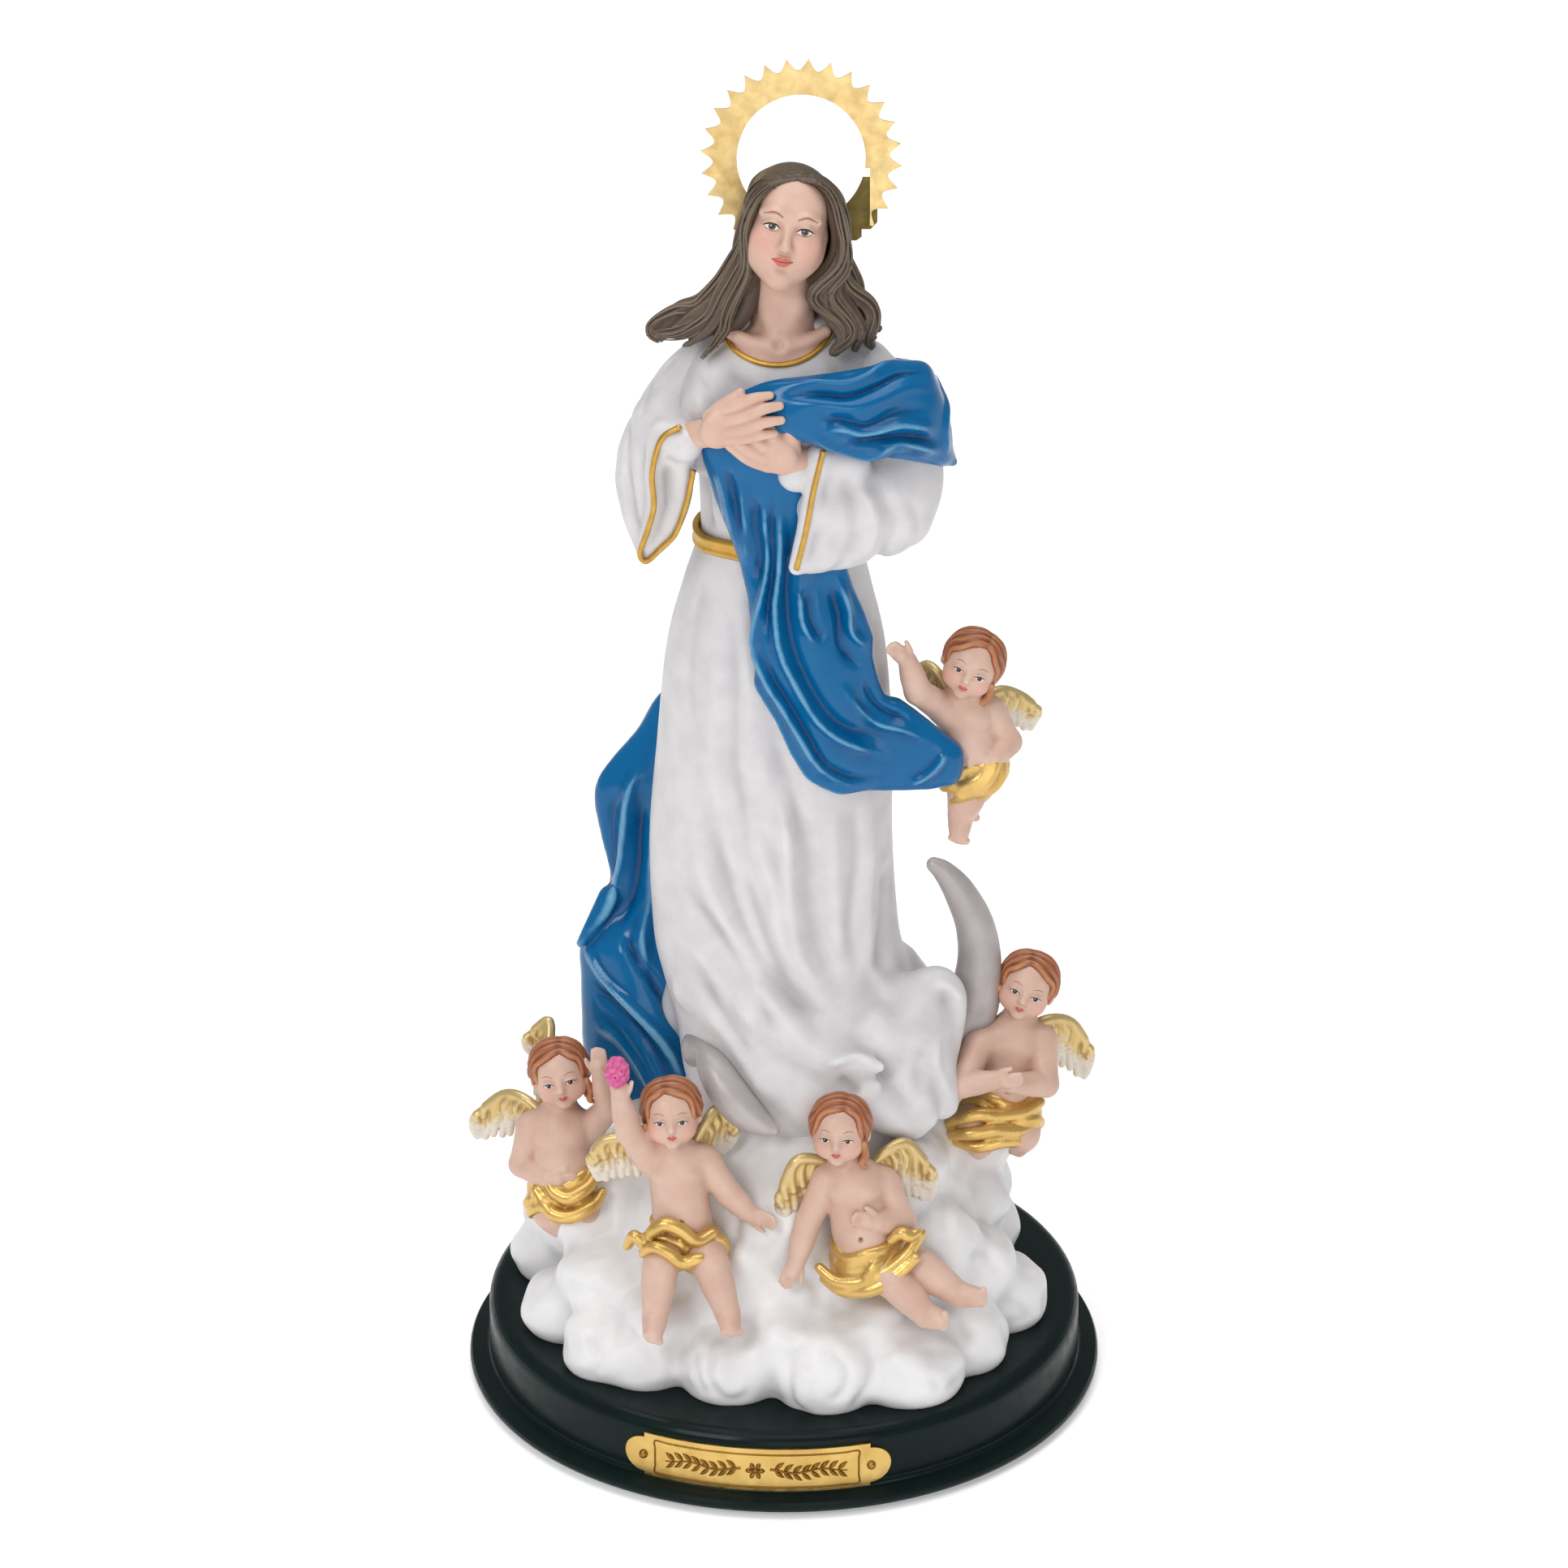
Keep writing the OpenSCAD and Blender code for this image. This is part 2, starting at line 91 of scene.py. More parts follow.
def curve_points(points, count):
    """A smooth curve through the points (each any row of numbers), sampled evenly in its parameter."""
    p = np.array(points, np.float32)
    p = np.vstack([2 * p[0] - p[1], p, 2 * p[-1] - p[-2]])
    t = np.linspace(0, len(p) - 3 - 1e-4, count)
    i = t.astype(int)
    f = (t - i)[:, None]
    a, b, c, d = p[i], p[i + 1], p[i + 2], p[i + 3]
    return 0.5 * (2 * b + (c - a) * f + (2 * a - 5 * b + 4 * c - d) * f**2 + (3 * b - 3 * c + d - a) * f**3)


class Clay:
    """A solid held as distances on a grid, built by blending and carving simple forms."""

    def __init__(self, low, high, cell):
        self.cell = cell
        self.low = np.array(low, np.float32)
        self.shape = tuple(int(n) for n in np.ceil((np.array(high) - self.low) / cell) + 1)
        self.field = np.full(self.shape, EMPTY, np.float32)

    def window(self, low, high):
        a = np.maximum(np.floor((np.array(low) - self.low) / self.cell).astype(int), 0)
        b = np.minimum(np.ceil((np.array(high) - self.low) / self.cell).astype(int) + 1, self.shape)
        if (b <= a).any():
            return None, None
        axes = [self.low[i] + self.cell * np.arange(a[i], b[i], dtype=np.float32) for i in range(3)]
        grid = np.stack(np.meshgrid(*axes, indexing="ij"), -1)
        return tuple(slice(a[i], b[i]) for i in range(3)), grid

    def mix(self, part, distance, blend, carve):
        old = self.field[part]
        if carve:
            distance = -distance
            h = np.clip(0.5 - 0.5 * (old - distance) / blend, 0, 1)
            self.field[part] = old + (distance - old) * h + blend * h * (1 - h)
        else:
            h = np.clip(0.5 + 0.5 * (old - distance) / blend, 0, 1)
            self.field[part] = old + (distance - old) * h - blend * h * (1 - h)

    def blob(self, centre, radii, blend=0.8, rotation=None, carve=False):
        """An ellipsoid."""
        centre, radii = np.array(centre, np.float32), np.array(radii, np.float32) * np.ones(3, np.float32)
        reach = radii.max() + blend + 2 * self.cell
        part, grid = self.window(centre - reach, centre + reach)
        if part is None:
            return
        p = grid - centre
        if rotation is not None:
            p = p @ rotation
        k0 = np.linalg.norm(p / radii, axis=-1)
        k1 = np.linalg.norm(p / radii**2, axis=-1) + 1e-6
        self.mix(part, k0 * (k0 - 1) / k1, blend, carve)

    def limb(self, points, radii, blend=0.8, carve=False, steps=6, ridges=0, ridge_depth=0.0):
        """A tapered bar along a smooth curve. ridges cut that many grooves along it."""
        rows = np.column_stack([np.array(points, np.float32), np.array(radii, np.float32)])
        rows = curve_points(rows, steps * (len(rows) - 1) + 1) if len(rows) > 2 else rows
        reach = rows[:, 3].max() + blend + 2 * self.cell
        part, grid = self.window(rows[:, :3].min(0) - reach, rows[:, :3].max(0) + reach)
        if part is None:
            return
        best = np.full(grid.shape[:3], EMPTY, np.float32)
        for a, b in zip(rows[:-1], rows[1:]):
            span = b[:3] - a[:3]
            seg_reach = max(a[3], b[3]) + blend + 2 * self.cell
            lo = np.minimum(a[:3], b[:3]) - seg_reach
            hi = np.maximum(a[:3], b[:3]) + seg_reach
            first = grid[0, 0, 0]
            i0 = np.maximum(np.floor((lo - first) / self.cell).astype(int), 0)
            i1 = np.minimum(np.ceil((hi - first) / self.cell).astype(int) + 1, grid.shape[:3])
            if (i1 <= i0).any():
                continue
            box = tuple(slice(i0[i], i1[i]) for i in range(3))
            rel = grid[box] - a[:3]
            t = np.clip(rel @ span / max(float(span @ span), 1e-6), 0, 1)
            off = rel - t[..., None] * span
            radius = a[3] + (b[3] - a[3]) * t
            d = np.linalg.norm(off, axis=-1) - radius
            if ridges:
                side = np.cross(span, vec(0.31, 0.77, 0.55))
                side /= np.linalg.norm(side)
                up = np.cross(span / np.linalg.norm(span), side)
                d += ridge_depth * np.abs(np.sin(0.5 * ridges * np.arctan2(off @ side, off @ up)))
            best[box] = np.minimum(best[box], d)
        self.mix(part, best, blend, carve)

    def loft(self, rings, blend=1.0, shrink=0.0):
        """A body through level oval rings of [height, centre x, centre y, half width, half depth]."""
        rows = curve_points(rings, 10 * (len(rings) - 1) + 1)
        low, high = rows.min(0), rows.max(0)
        reach = high[3:].max() + blend + 2 * self.cell
        part, grid = self.window(
            (low[1] - reach, low[2] - reach, low[0] - blend),
            (high[1] + reach, high[2] + reach, high[0] + blend)
        )
        z = grid[0, 0, :, 2]
        cx, cy, rx, ry = (np.interp(z, rows[:, 0], rows[:, i]).astype(np.float32) for i in (1, 2, 3, 4))
        u, v = (grid[..., 0] - cx) / (rx - shrink), (grid[..., 1] - cy) / (ry - shrink)
        k0 = np.sqrt(u * u + v * v)
        k1 = np.sqrt((u / (rx - shrink)) ** 2 + (v / (ry - shrink)) ** 2) + 1e-6
        distance = np.maximum(k0 * (k0 - 1) / k1, np.maximum(low[0] - z, z - high[0]))
        self.mix(part, distance, blend, False)

    def cut_below(self, z):
        k = int(np.clip(round((z - self.low[2]) / self.cell), 0, self.shape[2]))
        self.field[:, :, :k] = np.maximum(self.field[:, :, :k], self.cell * 0.5)

    def mesh(self):
        """Vertices and quads of the surface, by surface nets."""
        f = self.field
        f[[0, -1]] = f[:, [0, -1]] = f[:, :, [0, -1]] = EMPTY
        inside = f < 0
        n = [s - 1 for s in f.shape]
        count = np.zeros(n, np.int8)
        for dx in (0, 1):
            for dy in (0, 1):
                for dz in (0, 1):
                    count += inside[dx : n[0] + dx, dy : n[1] + dy, dz : n[2] + dz]
        cells = np.argwhere((count > 0) & (count < 8))
        number = np.full(n, -1, np.int64)
        number[tuple(cells.T)] = np.arange(len(cells))
        total = np.zeros((len(cells), 3), np.float32)
        hits = np.zeros(len(cells), np.float32)
        corners = [(i, j, k) for i in (0, 1) for j in (0, 1) for k in (0, 1)]
        for a in corners:
            for b in corners:
                if sum(b) != sum(a) + 1 or any(y < x for x, y in zip(a, b)):
                    continue
                fa, fb = f[tuple((cells + a).T)], f[tuple((cells + b).T)]
                cross = (fa < 0) != (fb < 0)
                t = np.where(cross, fa / np.where(cross, fa - fb, 1), 0)[:, None]
                total += np.where(cross[:, None], np.array(a) + t * (np.array(b) - np.array(a)), 0)
                hits += cross
        verts = self.low + self.cell * (cells + total / hits[:, None])
        quads = []
        for axis in range(3):
            u, v = (axis + 1) % 3, (axis + 2) % 3
            lower = np.take(inside, range(0, f.shape[axis] - 1), axis)
            upper = np.take(inside, range(1, f.shape[axis]), axis)
            edges = np.argwhere(lower != upper)
            start_in = inside[tuple(edges.T)]
            ring = []
            for du, dv in ((-1, -1), (0, -1), (0, 0), (-1, 0)):
                cell = edges.copy()
                cell[:, u] += du
                cell[:, v] += dv
                ring.append(number[tuple(cell.T)])
            ring = np.stack(ring, 1)
            ring[~start_in] = ring[~start_in][:, ::-1]
            quads.append(ring)
        return verts.astype(np.float64), np.concatenate(quads)


# ---------------------------------------------------------------- meshes


def make_piece(name, verts, faces, material, slot, replaces=(), body="statue", marks=None):
    """A mesh object from millimetre vertices. marks are {attribute name: one value per vertex}."""
    mesh = bpy.data.meshes.new(name)
    mesh.from_pydata((np.asarray(verts) * MM).tolist(), [], [list(map(int, f)) for f in faces])
    mesh.validate()
    mesh.polygons.foreach_set("use_smooth", [True] * len(mesh.polygons))
    for label, values in (marks or {}).items():
        layer = mesh.attributes.new(label, "FLOAT", "POINT")
        layer.data.foreach_set("value", np.asarray(values, np.float32))
    piece = bpy.data.objects.new(name, mesh)
    bpy.context.scene.collection.objects.link(piece)
    mesh.materials.append(material)
    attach(piece, body)
    if replaces:
        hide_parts(*replaces)
    return piece


def normals_of(verts, faces):
    """Vertex normals of a quad mesh."""
    a, b, c, d = (verts[faces[:, i]] for i in range(4))
    face = np.cross(c - a, d - b)
    total = np.zeros_like(verts)
    for i in range(4):
        np.add.at(total, faces[:, i], face)
    return total / (np.linalg.norm(total, axis=1, keepdims=True) + 1e-12)


def relax(verts, faces, rounds, share=0.5):
    """Evens out a quad mesh by moving each vertex towards the mean of its neighbours."""
    ends = np.concatenate([faces[:, [0, 1]], faces[:, [1, 2]], faces[:, [2, 3]], faces[:, [3, 0]]])
    n = len(verts)
    degree = np.bincount(ends[:, 0], minlength=n)[:, None] + 1e-9
    for _ in range(rounds):
        mean = np.stack(
            [np.bincount(ends[:, 0], verts[ends[:, 1], i], minlength=n) for i in range(3)], 1
        ) / degree
        verts = verts + share * (mean - verts)
    return verts


def distance_to_curve(points, curve):
    """Distance from each point to a polyline, and the place along it from 0 to 1."""
    best = np.full(len(points), 1e9)
    place = np.zeros(len(points))
    for i in range(len(curve) - 1):
        a, span = curve[i], curve[i + 1] - curve[i]
        t = np.clip((points - a) @ span / max(float(span @ span), 1e-9), 0, 1)
        d = np.linalg.norm(points - a - t[:, None] * span, axis=1)
        near = d < best
        best[near] = d[near]
        place[near] = (i + t[near]) / (len(curve) - 1)
    return best, place


def stroke(verts, points, width, height, taper=0.25, samples=24):
    """How far a ridge (or a groove, with a negative height) along a curve lifts each vertex."""
    curve = curve_points(points, samples).astype(np.float64)
    low, high = curve.min(0) - 2.5 * width, curve.max(0) + 2.5 * width
    near = np.flatnonzero(((verts > low) & (verts < high)).all(1))
    lift = np.zeros(len(verts))
    if len(near):
        d, t = distance_to_curve(verts[near], curve)
        ends = np.clip(np.minimum(t, 1 - t) / taper, 0, 1)
        lift[near] = height * np.exp(-((d / width) ** 2)) * ends * ends * (3 - 2 * ends)
    return lift


def noise(points, size, seed):
    """Smooth noise from -1 to 1 with features about that size, from a few random waves."""
    rng = np.random.default_rng(seed)
    total = np.zeros(len(points))
    waves = 14
    for _ in range(waves):
        direction = rng.normal(size=3)
        direction *= (2 * math.pi / size) * rng.uniform(0.6, 1.4) / np.linalg.norm(direction)
        total += np.sin(points @ direction + rng.uniform(0, TURN))
    return total / math.sqrt(waves)


def tube(points, radius, sides=10, samples=60):
    """A round bar of one radius, or of one radius per point, along a smooth curve."""
    widths = np.atleast_1d(np.array(radius, float))
    widths = np.interp(np.linspace(0, 1, len(points)), np.linspace(0, 1, len(widths)), widths)
    rows = [list(p) + [r] for p, r in zip(points, widths)]
    curve = curve_points(rows, samples)
    path, radii = curve[:, :3].astype(float), curve[:, 3]
    ahead = np.gradient(path, axis=0)
    ahead /= np.linalg.norm(ahead, axis=1, keepdims=True) + 1e-9
    side = np.cross(ahead, (0.13, 0.21, 0.97))
    side /= np.linalg.norm(side, axis=1, keepdims=True)
    up = np.cross(ahead, side)
    a = TURN * np.arange(sides) / sides
    ring = np.cos(a)[None, :, None] * side[:, None] + np.sin(a)[None, :, None] * up[:, None]
    verts = (path[:, None] + ring * radii[:, None, None]).reshape(-1, 3)
    n = len(path)
    i, k = np.meshgrid(range(n - 1), range(sides), indexing="ij")
    j = (k + 1) % sides
    faces = np.stack(
        [i * sides + k, i * sides + j, (i + 1) * sides + j, (i + 1) * sides + k], -1
    ).reshape(-1, 4)
    faces = [list(f) for f in faces]
    faces.append(list(range(sides - 1, -1, -1)))
    faces.append([(n - 1) * sides + k for k in range(sides)])
    return verts, faces


def join(parts):
    """Several (vertices, faces) as one."""
    verts, faces, start = [], [], 0
    for v, f in parts:
        verts.append(np.asarray(v, float))
        faces += [[start + int(i) for i in face] for face in f]
        start += len(v)
    return np.concatenate(verts), faces


def surface_tree(verts, faces):
    return BVHTree.FromPolygons([Vector(v) for v in verts], [list(map(int, f)) for f in faces])


def snap(tree, points, toward=(0, 1, 0), lift=0.0):
    """Moves points onto a surface, looking in one direction from well in front of it."""
    ahead = Vector(toward).normalized()
    found = []
    for p in points:
        hit, normal, _, _ = tree.ray_cast(Vector(p) - RAY_START * ahead, ahead)
        if hit is None:
            hit, normal, _, _ = tree.find_nearest(Vector(p))
        if normal.dot(ahead) > 0:
            normal = -normal
        found.append(np.array(hit + lift * normal))
    return np.array(found)


def fold(verts, faces, lines, toward=(0, 1, 0)):
    """Lifts or sinks folds. Each line is [points as (x, z), width, height], drawn on the front."""
    tree = surface_tree(verts, faces)
    lift = np.zeros(len(verts))
    for points, width, height in lines:
        full = [(p[0], 0, p[1]) if len(p) == 2 else p for p in curve_points(points, 12).tolist()]
        lift += stroke(verts, snap(tree, full, toward), width, height)
    return verts + normals_of(verts, faces) * lift[:, None]


# The valley and crest marks set where the paints lay painted shade and painted highlight.
def relief(verts, faces, depth=0.4, rounds=10):
    """How deep in a valley and how high on a crest each vertex lies, from 0 to 1."""
    height = ((verts - relax(verts, faces, rounds)) * normals_of(verts, faces)).sum(1) / depth
    return {"valley": np.clip(-height, 0, 1), "crest": np.clip(height, 0, 1)}


def make_sculpted(name, shape, material, slot, node, depth=0.4):
    """A sculpted piece that stands for one CAD node, with painted shade in its valleys and painted highlights
    on its crests.
    """
    make_piece(name, *shape, material, slot, [node], marks=relief(*shape, depth))


def biggest(verts, faces):
    """Keeps the largest connected part of a quad mesh."""
    label = np.arange(len(verts))
    while True:
        low = label[faces].min(1)
        new = label.copy()
        for i in range(4):
            np.minimum.at(new, faces[:, i], low)
        new = new[new]
        if (new == label).all():
            break
        label = new
    names, counts = np.unique(label[faces[:, 0]], return_counts=True)
    faces = faces[label[faces[:, 0]] == names[counts.argmax()]]
    used = np.unique(faces)
    index = np.zeros(len(verts), int)
    index[used] = np.arange(len(used))
    return verts[used], index[faces]


def sculpt(clay, lines=(), toward=(0, 1, 0), smooth=2):
    """The finished mesh of a clay solid: evened out, with its folds."""
    verts, faces = biggest(*clay.mesh())
    verts = relax(verts, faces, smooth)
    if lines:
        verts = fold(verts, faces, lines, toward)
        verts = relax(verts, faces, 1)
    return verts, faces


# ---------------------------------------------------------------- materials


def rgb(r, g, b):
    """A screen colour, each part from 0 to 255, as the linear colour that a shader takes."""
    return tuple(
        (c / 255 / 12.92) if c <= 10 else ((c / 255 + 0.055) / 1.055) ** 2.4 for c in (r, g, b)
    ) + (1.0,)


class Paint:
    """A material, built node by node."""

    def __init__(self, name, roughness, metallic=0.0, coat=0.0, specular=0.5):
        self.material = bpy.data.materials.new(name)
        self.material.use_nodes = True
        self.nodes = self.material.node_tree.nodes
        self.links = self.material.node_tree.links
        self.shader = self.nodes["Principled BSDF"]
        self.put(self.shader, "Roughness", roughness)
        self.put(self.shader, "Metallic", metallic)
        self.put(self.shader, "Coat Weight", coat)
        self.put(self.shader, "Coat Roughness", 0.12)
        self.put(self.shader, "Specular IOR Level", specular)
        self.place = self.add("TexCoord").outputs["Object"]

    def put(self, node, socket, value):
        if isinstance(value, bpy.types.NodeSocket):
            self.links.new(value, node.inputs[socket])
        else:
            node.inputs[socket].default_value = value

    def add(self, kind, **settings):
        node = self.nodes.new("ShaderNode" + kind)
        for name, value in settings.items():
            setattr(node, name, value)
        return node

    def noise(self, size_mm, detail=3.0, stretch=(1, 1, 1)):
        mapping = self.add("Mapping")
        self.put(mapping, "Vector", self.place)
        self.put(mapping, "Scale", tuple(s / (size_mm * MM) for s in stretch))
        node = self.add("TexNoise")
        self.put(node, "Vector", mapping.outputs["Vector"])
        self.put(node, "Scale", 1.0)
        self.put(node, "Detail", detail)
        return node.outputs["Fac"]

    def mark(self, name):
        return self.add("Attribute", attribute_name=name).outputs["Fac"]

    def span(self, value, low, high, to_low=0.0, to_high=1.0):
        node = self.add("MapRange")
        for socket, number in zip(
            ("Value", "From Min", "From Max", "To Min", "To Max"), (value, low, high, to_low, to_high)
        ):
            self.put(node, socket, number)
        return node.outputs["Result"]

    def mix(self, factor, a, b):
        node = self.add("Mix", data_type="RGBA")
        self.put(node, 0, factor)
        self.put(node, 6, a)
        self.put(node, 7, b)
        return node.outputs[2]

    def bump(self, height, strength, distance_mm):
        node = self.add("Bump")
        self.put(node, "Height", height)
        self.put(node, "Strength", strength)
        self.put(node, "Distance", distance_mm * MM)
        self.put(self.shader, "Normal", node.outputs["Normal"])


def enamel(
    name, colour, shade, light, roughness=0.45, coat=0.0, metallic=0.0, mottle=6.0, spread=0.5,
    grain=0.12, specular=0.5,
    highlight_from=0.15,
):
    """Hand-laid paint on cast resin with brush mottle, darkened in the valleys as painted shade and paled on
    the crests as painted highlight.
    """
    p = Paint(name, roughness, metallic, coat, specular)
    broad = p.span(p.noise(mottle, 4.0), 0.35, 0.65)
    ground = p.mix(p.span(broad, 0, 1, 0, spread), colour, p.mix(0.5, colour, shade))
    # painted shade: the shade colour laid into valleys
    deep = p.mix(p.span(p.mark("valley"), 0.0, 0.8), ground, shade)
    rosy = p.mix(p.span(p.mark("blush"), 0, 1, 0, 0.26), deep, rgb(236, 128, 112))
    # painted highlight: the light colour laid onto crests, from highlight_from upward
    full = p.mix(p.span(p.mark("crest"), highlight_from, 1.0, 0, 0.7), rosy, light)
    p.put(p.shader, "Base Color", full)
    p.put(p.shader, "Roughness", p.span(p.noise(1.4, 3.0), 0.3, 0.7, roughness - 0.05, roughness + 0.08))
    p.bump(p.noise(0.5, 3.0), 0.35, grain)
    return p.material


# Each enamel: its own colour, a painted shade colour for valleys, a painted highlight colour for crests, then
# roughness.
GOWN_WHITE = enamel("gown_white_paint", rgb(215, 212, 213), rgb(172, 168, 171), rgb(232, 231, 231), 0.42)
CLOUD_WHITE = enamel(
    "cloud_white_paint", rgb(232, 231, 231), rgb(202, 199, 203), rgb(244, 243, 243), 0.4, mottle=9.0
)
# The mantle's pale crest colour is a painted highlight that stands in for its gloss.
MANTLE_BLUE = enamel(
    "mantle_blue_paint", rgb(0, 98, 152), rgb(0, 58, 108), rgb(120, 178, 210), 0.2, coat=0.2,
    mottle=16.0, spread=0.25,
    grain=0.03, specular=0.2, highlight_from=0.4,
)
SKIN = enamel("skin_paint", rgb(216, 180, 162), rgb(182, 130, 112), rgb(228, 200, 186), 0.42, grain=0.06)
CHERUB_SKIN = enamel(
    "cherub_skin_paint", rgb(213, 180, 163), rgb(172, 120, 98), rgb(226, 200, 186), 0.42, grain=0.06
)
HAIR_BROWN = enamel("hair_paint", rgb(88, 73, 60), rgb(38, 29, 23), rgb(146, 128, 106), 0.45)
CHERUB_HAIR = enamel("cherub_hair_paint", rgb(162, 96, 60), rgb(96, 46, 26), rgb(208, 148, 104), 0.45)
GOLD = enamel(
    "gold_paint", rgb(206, 162, 74), rgb(120, 80, 22), rgb(244, 214, 138), 0.34, metallic=0.65, mottle=2.5
)
DRAPE_GOLD = enamel(
    "drape_gold_paint", rgb(222, 184, 108), rgb(146, 102, 46), rgb(252, 236, 190), 0.3, metallic=0.6,
    mottle=4.0,
)
# Paler strands laid over the locks as painted highlight.
HAIR_HIGHLIGHT = enamel("hair_highlight_paint", rgb(112, 96, 80), rgb(60, 48, 38), rgb(150, 132, 110), 0.42)
MOON_SILVER = enamel(
    "moon_silver_paint", rgb(182, 175, 173), rgb(132, 124, 123), rgb(204, 199, 198), 0.38,
    metallic=0.15, mottle=5.0,
)
FLOWER_PINK = enamel(
    "flower_paint", rgb(214, 92, 150), rgb(150, 30, 88), rgb(246, 190, 214), 0.45, mottle=1.2
)


def wing_paint():
    """Gold leaf on the coverts, running out to white on the long feathers."""
    p = Paint("wing_paint", 0.36)
    ragged = p.span(p.noise(0.9, 3.0), 0.3, 0.7, -0.18, 0.18)
    sum_node = p.add("Math", operation="ADD")
    p.put(sum_node, 0, p.mark("gilt"))
    p.put(sum_node, 1, ragged)
    gilt = p.span(sum_node.outputs[0], 0.34, 0.6)
    # Gold and white both darken in valleys as painted shade; crests pale to a painted highlight.
    gold = p.mix(p.mark("valley"), rgb(206, 178, 118), rgb(132, 98, 46))
    white = p.mix(p.mark("valley"), rgb(218, 209, 198), rgb(164, 150, 134))
    p.put(p.shader, "Base Color", p.mix(p.mark("crest"), p.mix(gilt, white, gold), rgb(240, 226, 186)))
    p.put(p.shader, "Metallic", p.span(gilt, 0, 1, 0.0, 0.55))
    p.bump(p.noise(0.5, 3.0), 0.35, 0.12)
    return p.material


WING = wing_paint()


def sheet_metal(name, colour, dark, roughness, brush=(1, 1, 1)):
    """Metal with a fine grain, faint clouds of tarnish and an uneven gloss."""
    p = Paint(name, roughness, metallic=1.0)
    tarnish = p.span(p.noise(7.0, 4.0), 0.42, 0.75, 0, 0.55)
    p.put(p.shader, "Base Color", p.mix(tarnish, colour, dark))
    p.put(p.shader, "Roughness", p.span(p.noise(2.2, 4.0), 0.3, 0.7, roughness - 0.06, roughness + 0.12))
    p.bump(p.noise(0.35, 2.0, brush), 0.25, 0.05)
    return p.material


HALO_BRASS = sheet_metal("halo_brass", rgb(212, 186, 130), rgb(182, 146, 84), 0.34, (1, 1, 0.12))
# Painted shade: the bracket's brass is darkened for the shadow it lies in behind the head.
SHADED_BRACKET_BRASS = sheet_metal("bracket_brass", rgb(112, 98, 58), rgb(66, 56, 34), 0.42)
SOCKET_BRASS = sheet_metal("socket_brass", rgb(190, 152, 84), rgb(120, 88, 44), 0.4)
PLATE_BRASS = sheet_metal("plate_brass", rgb(220, 186, 112), rgb(180, 138, 66), 0.3, (0.12, 0.12, 1))
PIN_BRASS = sheet_metal("pin_brass", rgb(170, 128, 66), rgb(92, 62, 30), 0.38)
SCREW_STEEL = sheet_metal("screw_steel", rgb(170, 172, 176), rgb(110, 110, 114), 0.34)


def lacquer():
    """Near-black green lacquer: soft orange peel, paler specks of wear and an uneven gloss."""
    p = Paint("plinth_lacquer", 0.3, coat=0.08, specular=0.08)
    broad = p.span(p.noise(22.0, 4.0), 0.35, 0.7)
    worn = p.mix(p.span(p.noise(1.1, 5.0), 0.62, 0.78, 0, 0.5), rgb(14, 29, 28), rgb(26, 42, 40))
    p.put(p.shader, "Base Color", p.mix(p.span(broad, 0, 1, 0, 0.6), worn, rgb(10, 21, 21)))
    p.put(p.shader, "Roughness", p.span(p.noise(3.0, 4.0), 0.3, 0.7, 0.26, 0.42))
    p.bump(p.noise(1.6, 2.0), 0.2, 0.12)
    return p.material


def felt():
    """Green felt: matted short fibres."""
    p = Paint("felt", 0.95, specular=0.1)
    p.put(p.shader, "Base Color", p.mix(p.noise(0.5, 6.0), rgb(24, 58, 40), rgb(52, 92, 70)))
    p.put(p.shader, "Sheen Weight", 0.4)
    p.bump(p.noise(0.25, 6.0), 0.8, 0.3)
    return p.material


CARRIED_OVER = {
    "felt_pad": felt(),
    "plinth": lacquer(),
    "plinth_screws": SCREW_STEEL,
    "nameplate": PLATE_BRASS,
    "nameplate_pins": PIN_BRASS,
    "halo": HALO_BRASS,
    "halo_bracket": SHADED_BRACKET_BRASS,
    "halo_stem": SOCKET_BRASS,
    "halo_socket": SOCKET_BRASS,
}
for node_name, metal in CARRIED_OVER.items():
    for material_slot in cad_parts[node_name].material_slots:
        material_slot.material = metal


# ---------------------------------------------------------------- the figure's dress

GOWN = [
    [66, 5, -3, 24, 23], [76, 4, -3, 26, 25], [88, 3, -2, 26.5, 25], [98, 0.5, -1, 26.8, 24],
    [108, -1.7, 0, 26.6, 22.5], [130, -2.8, 1, 26.2, 21], [152, -2, 1, 25.3, 19.5],
    [175, -1.7, 1, 23.4, 17.5], [190, -1.5, 1, 20, 15], [201, -1, 1, 17, 12.6],
]
BODICE = [
    [199, -1, 1, 16.8, 12.4], [203, -1, 1, 16.6, 12.2], [215, 0, 0.5, 18, 13.5], [228, 0.5, 0, 19, 14],
    [238, 0, 0, 19, 13], [246, -0.5, 1, 14, 10], [250, -0.5, 1, 9, 7],
]
CLOTH_CELL = 0.62 * FINE  # grids for sculpting: gown, mantle's back and cloud
SLEEVE_CELL = 0.45 * FINE  # bodice, sleeves, front of the mantle and crescent
BODY_CELL = 0.36 * FINE  # long hair and cherubs' bodies
DRAPE_CELL = 0.32 * FINE
FINE_CELL = 0.3 * FINE  # head, hands and cherubs' hair
WING_CELL = 0.28 * FINE
PETAL_CELL = 0.26 * FINE

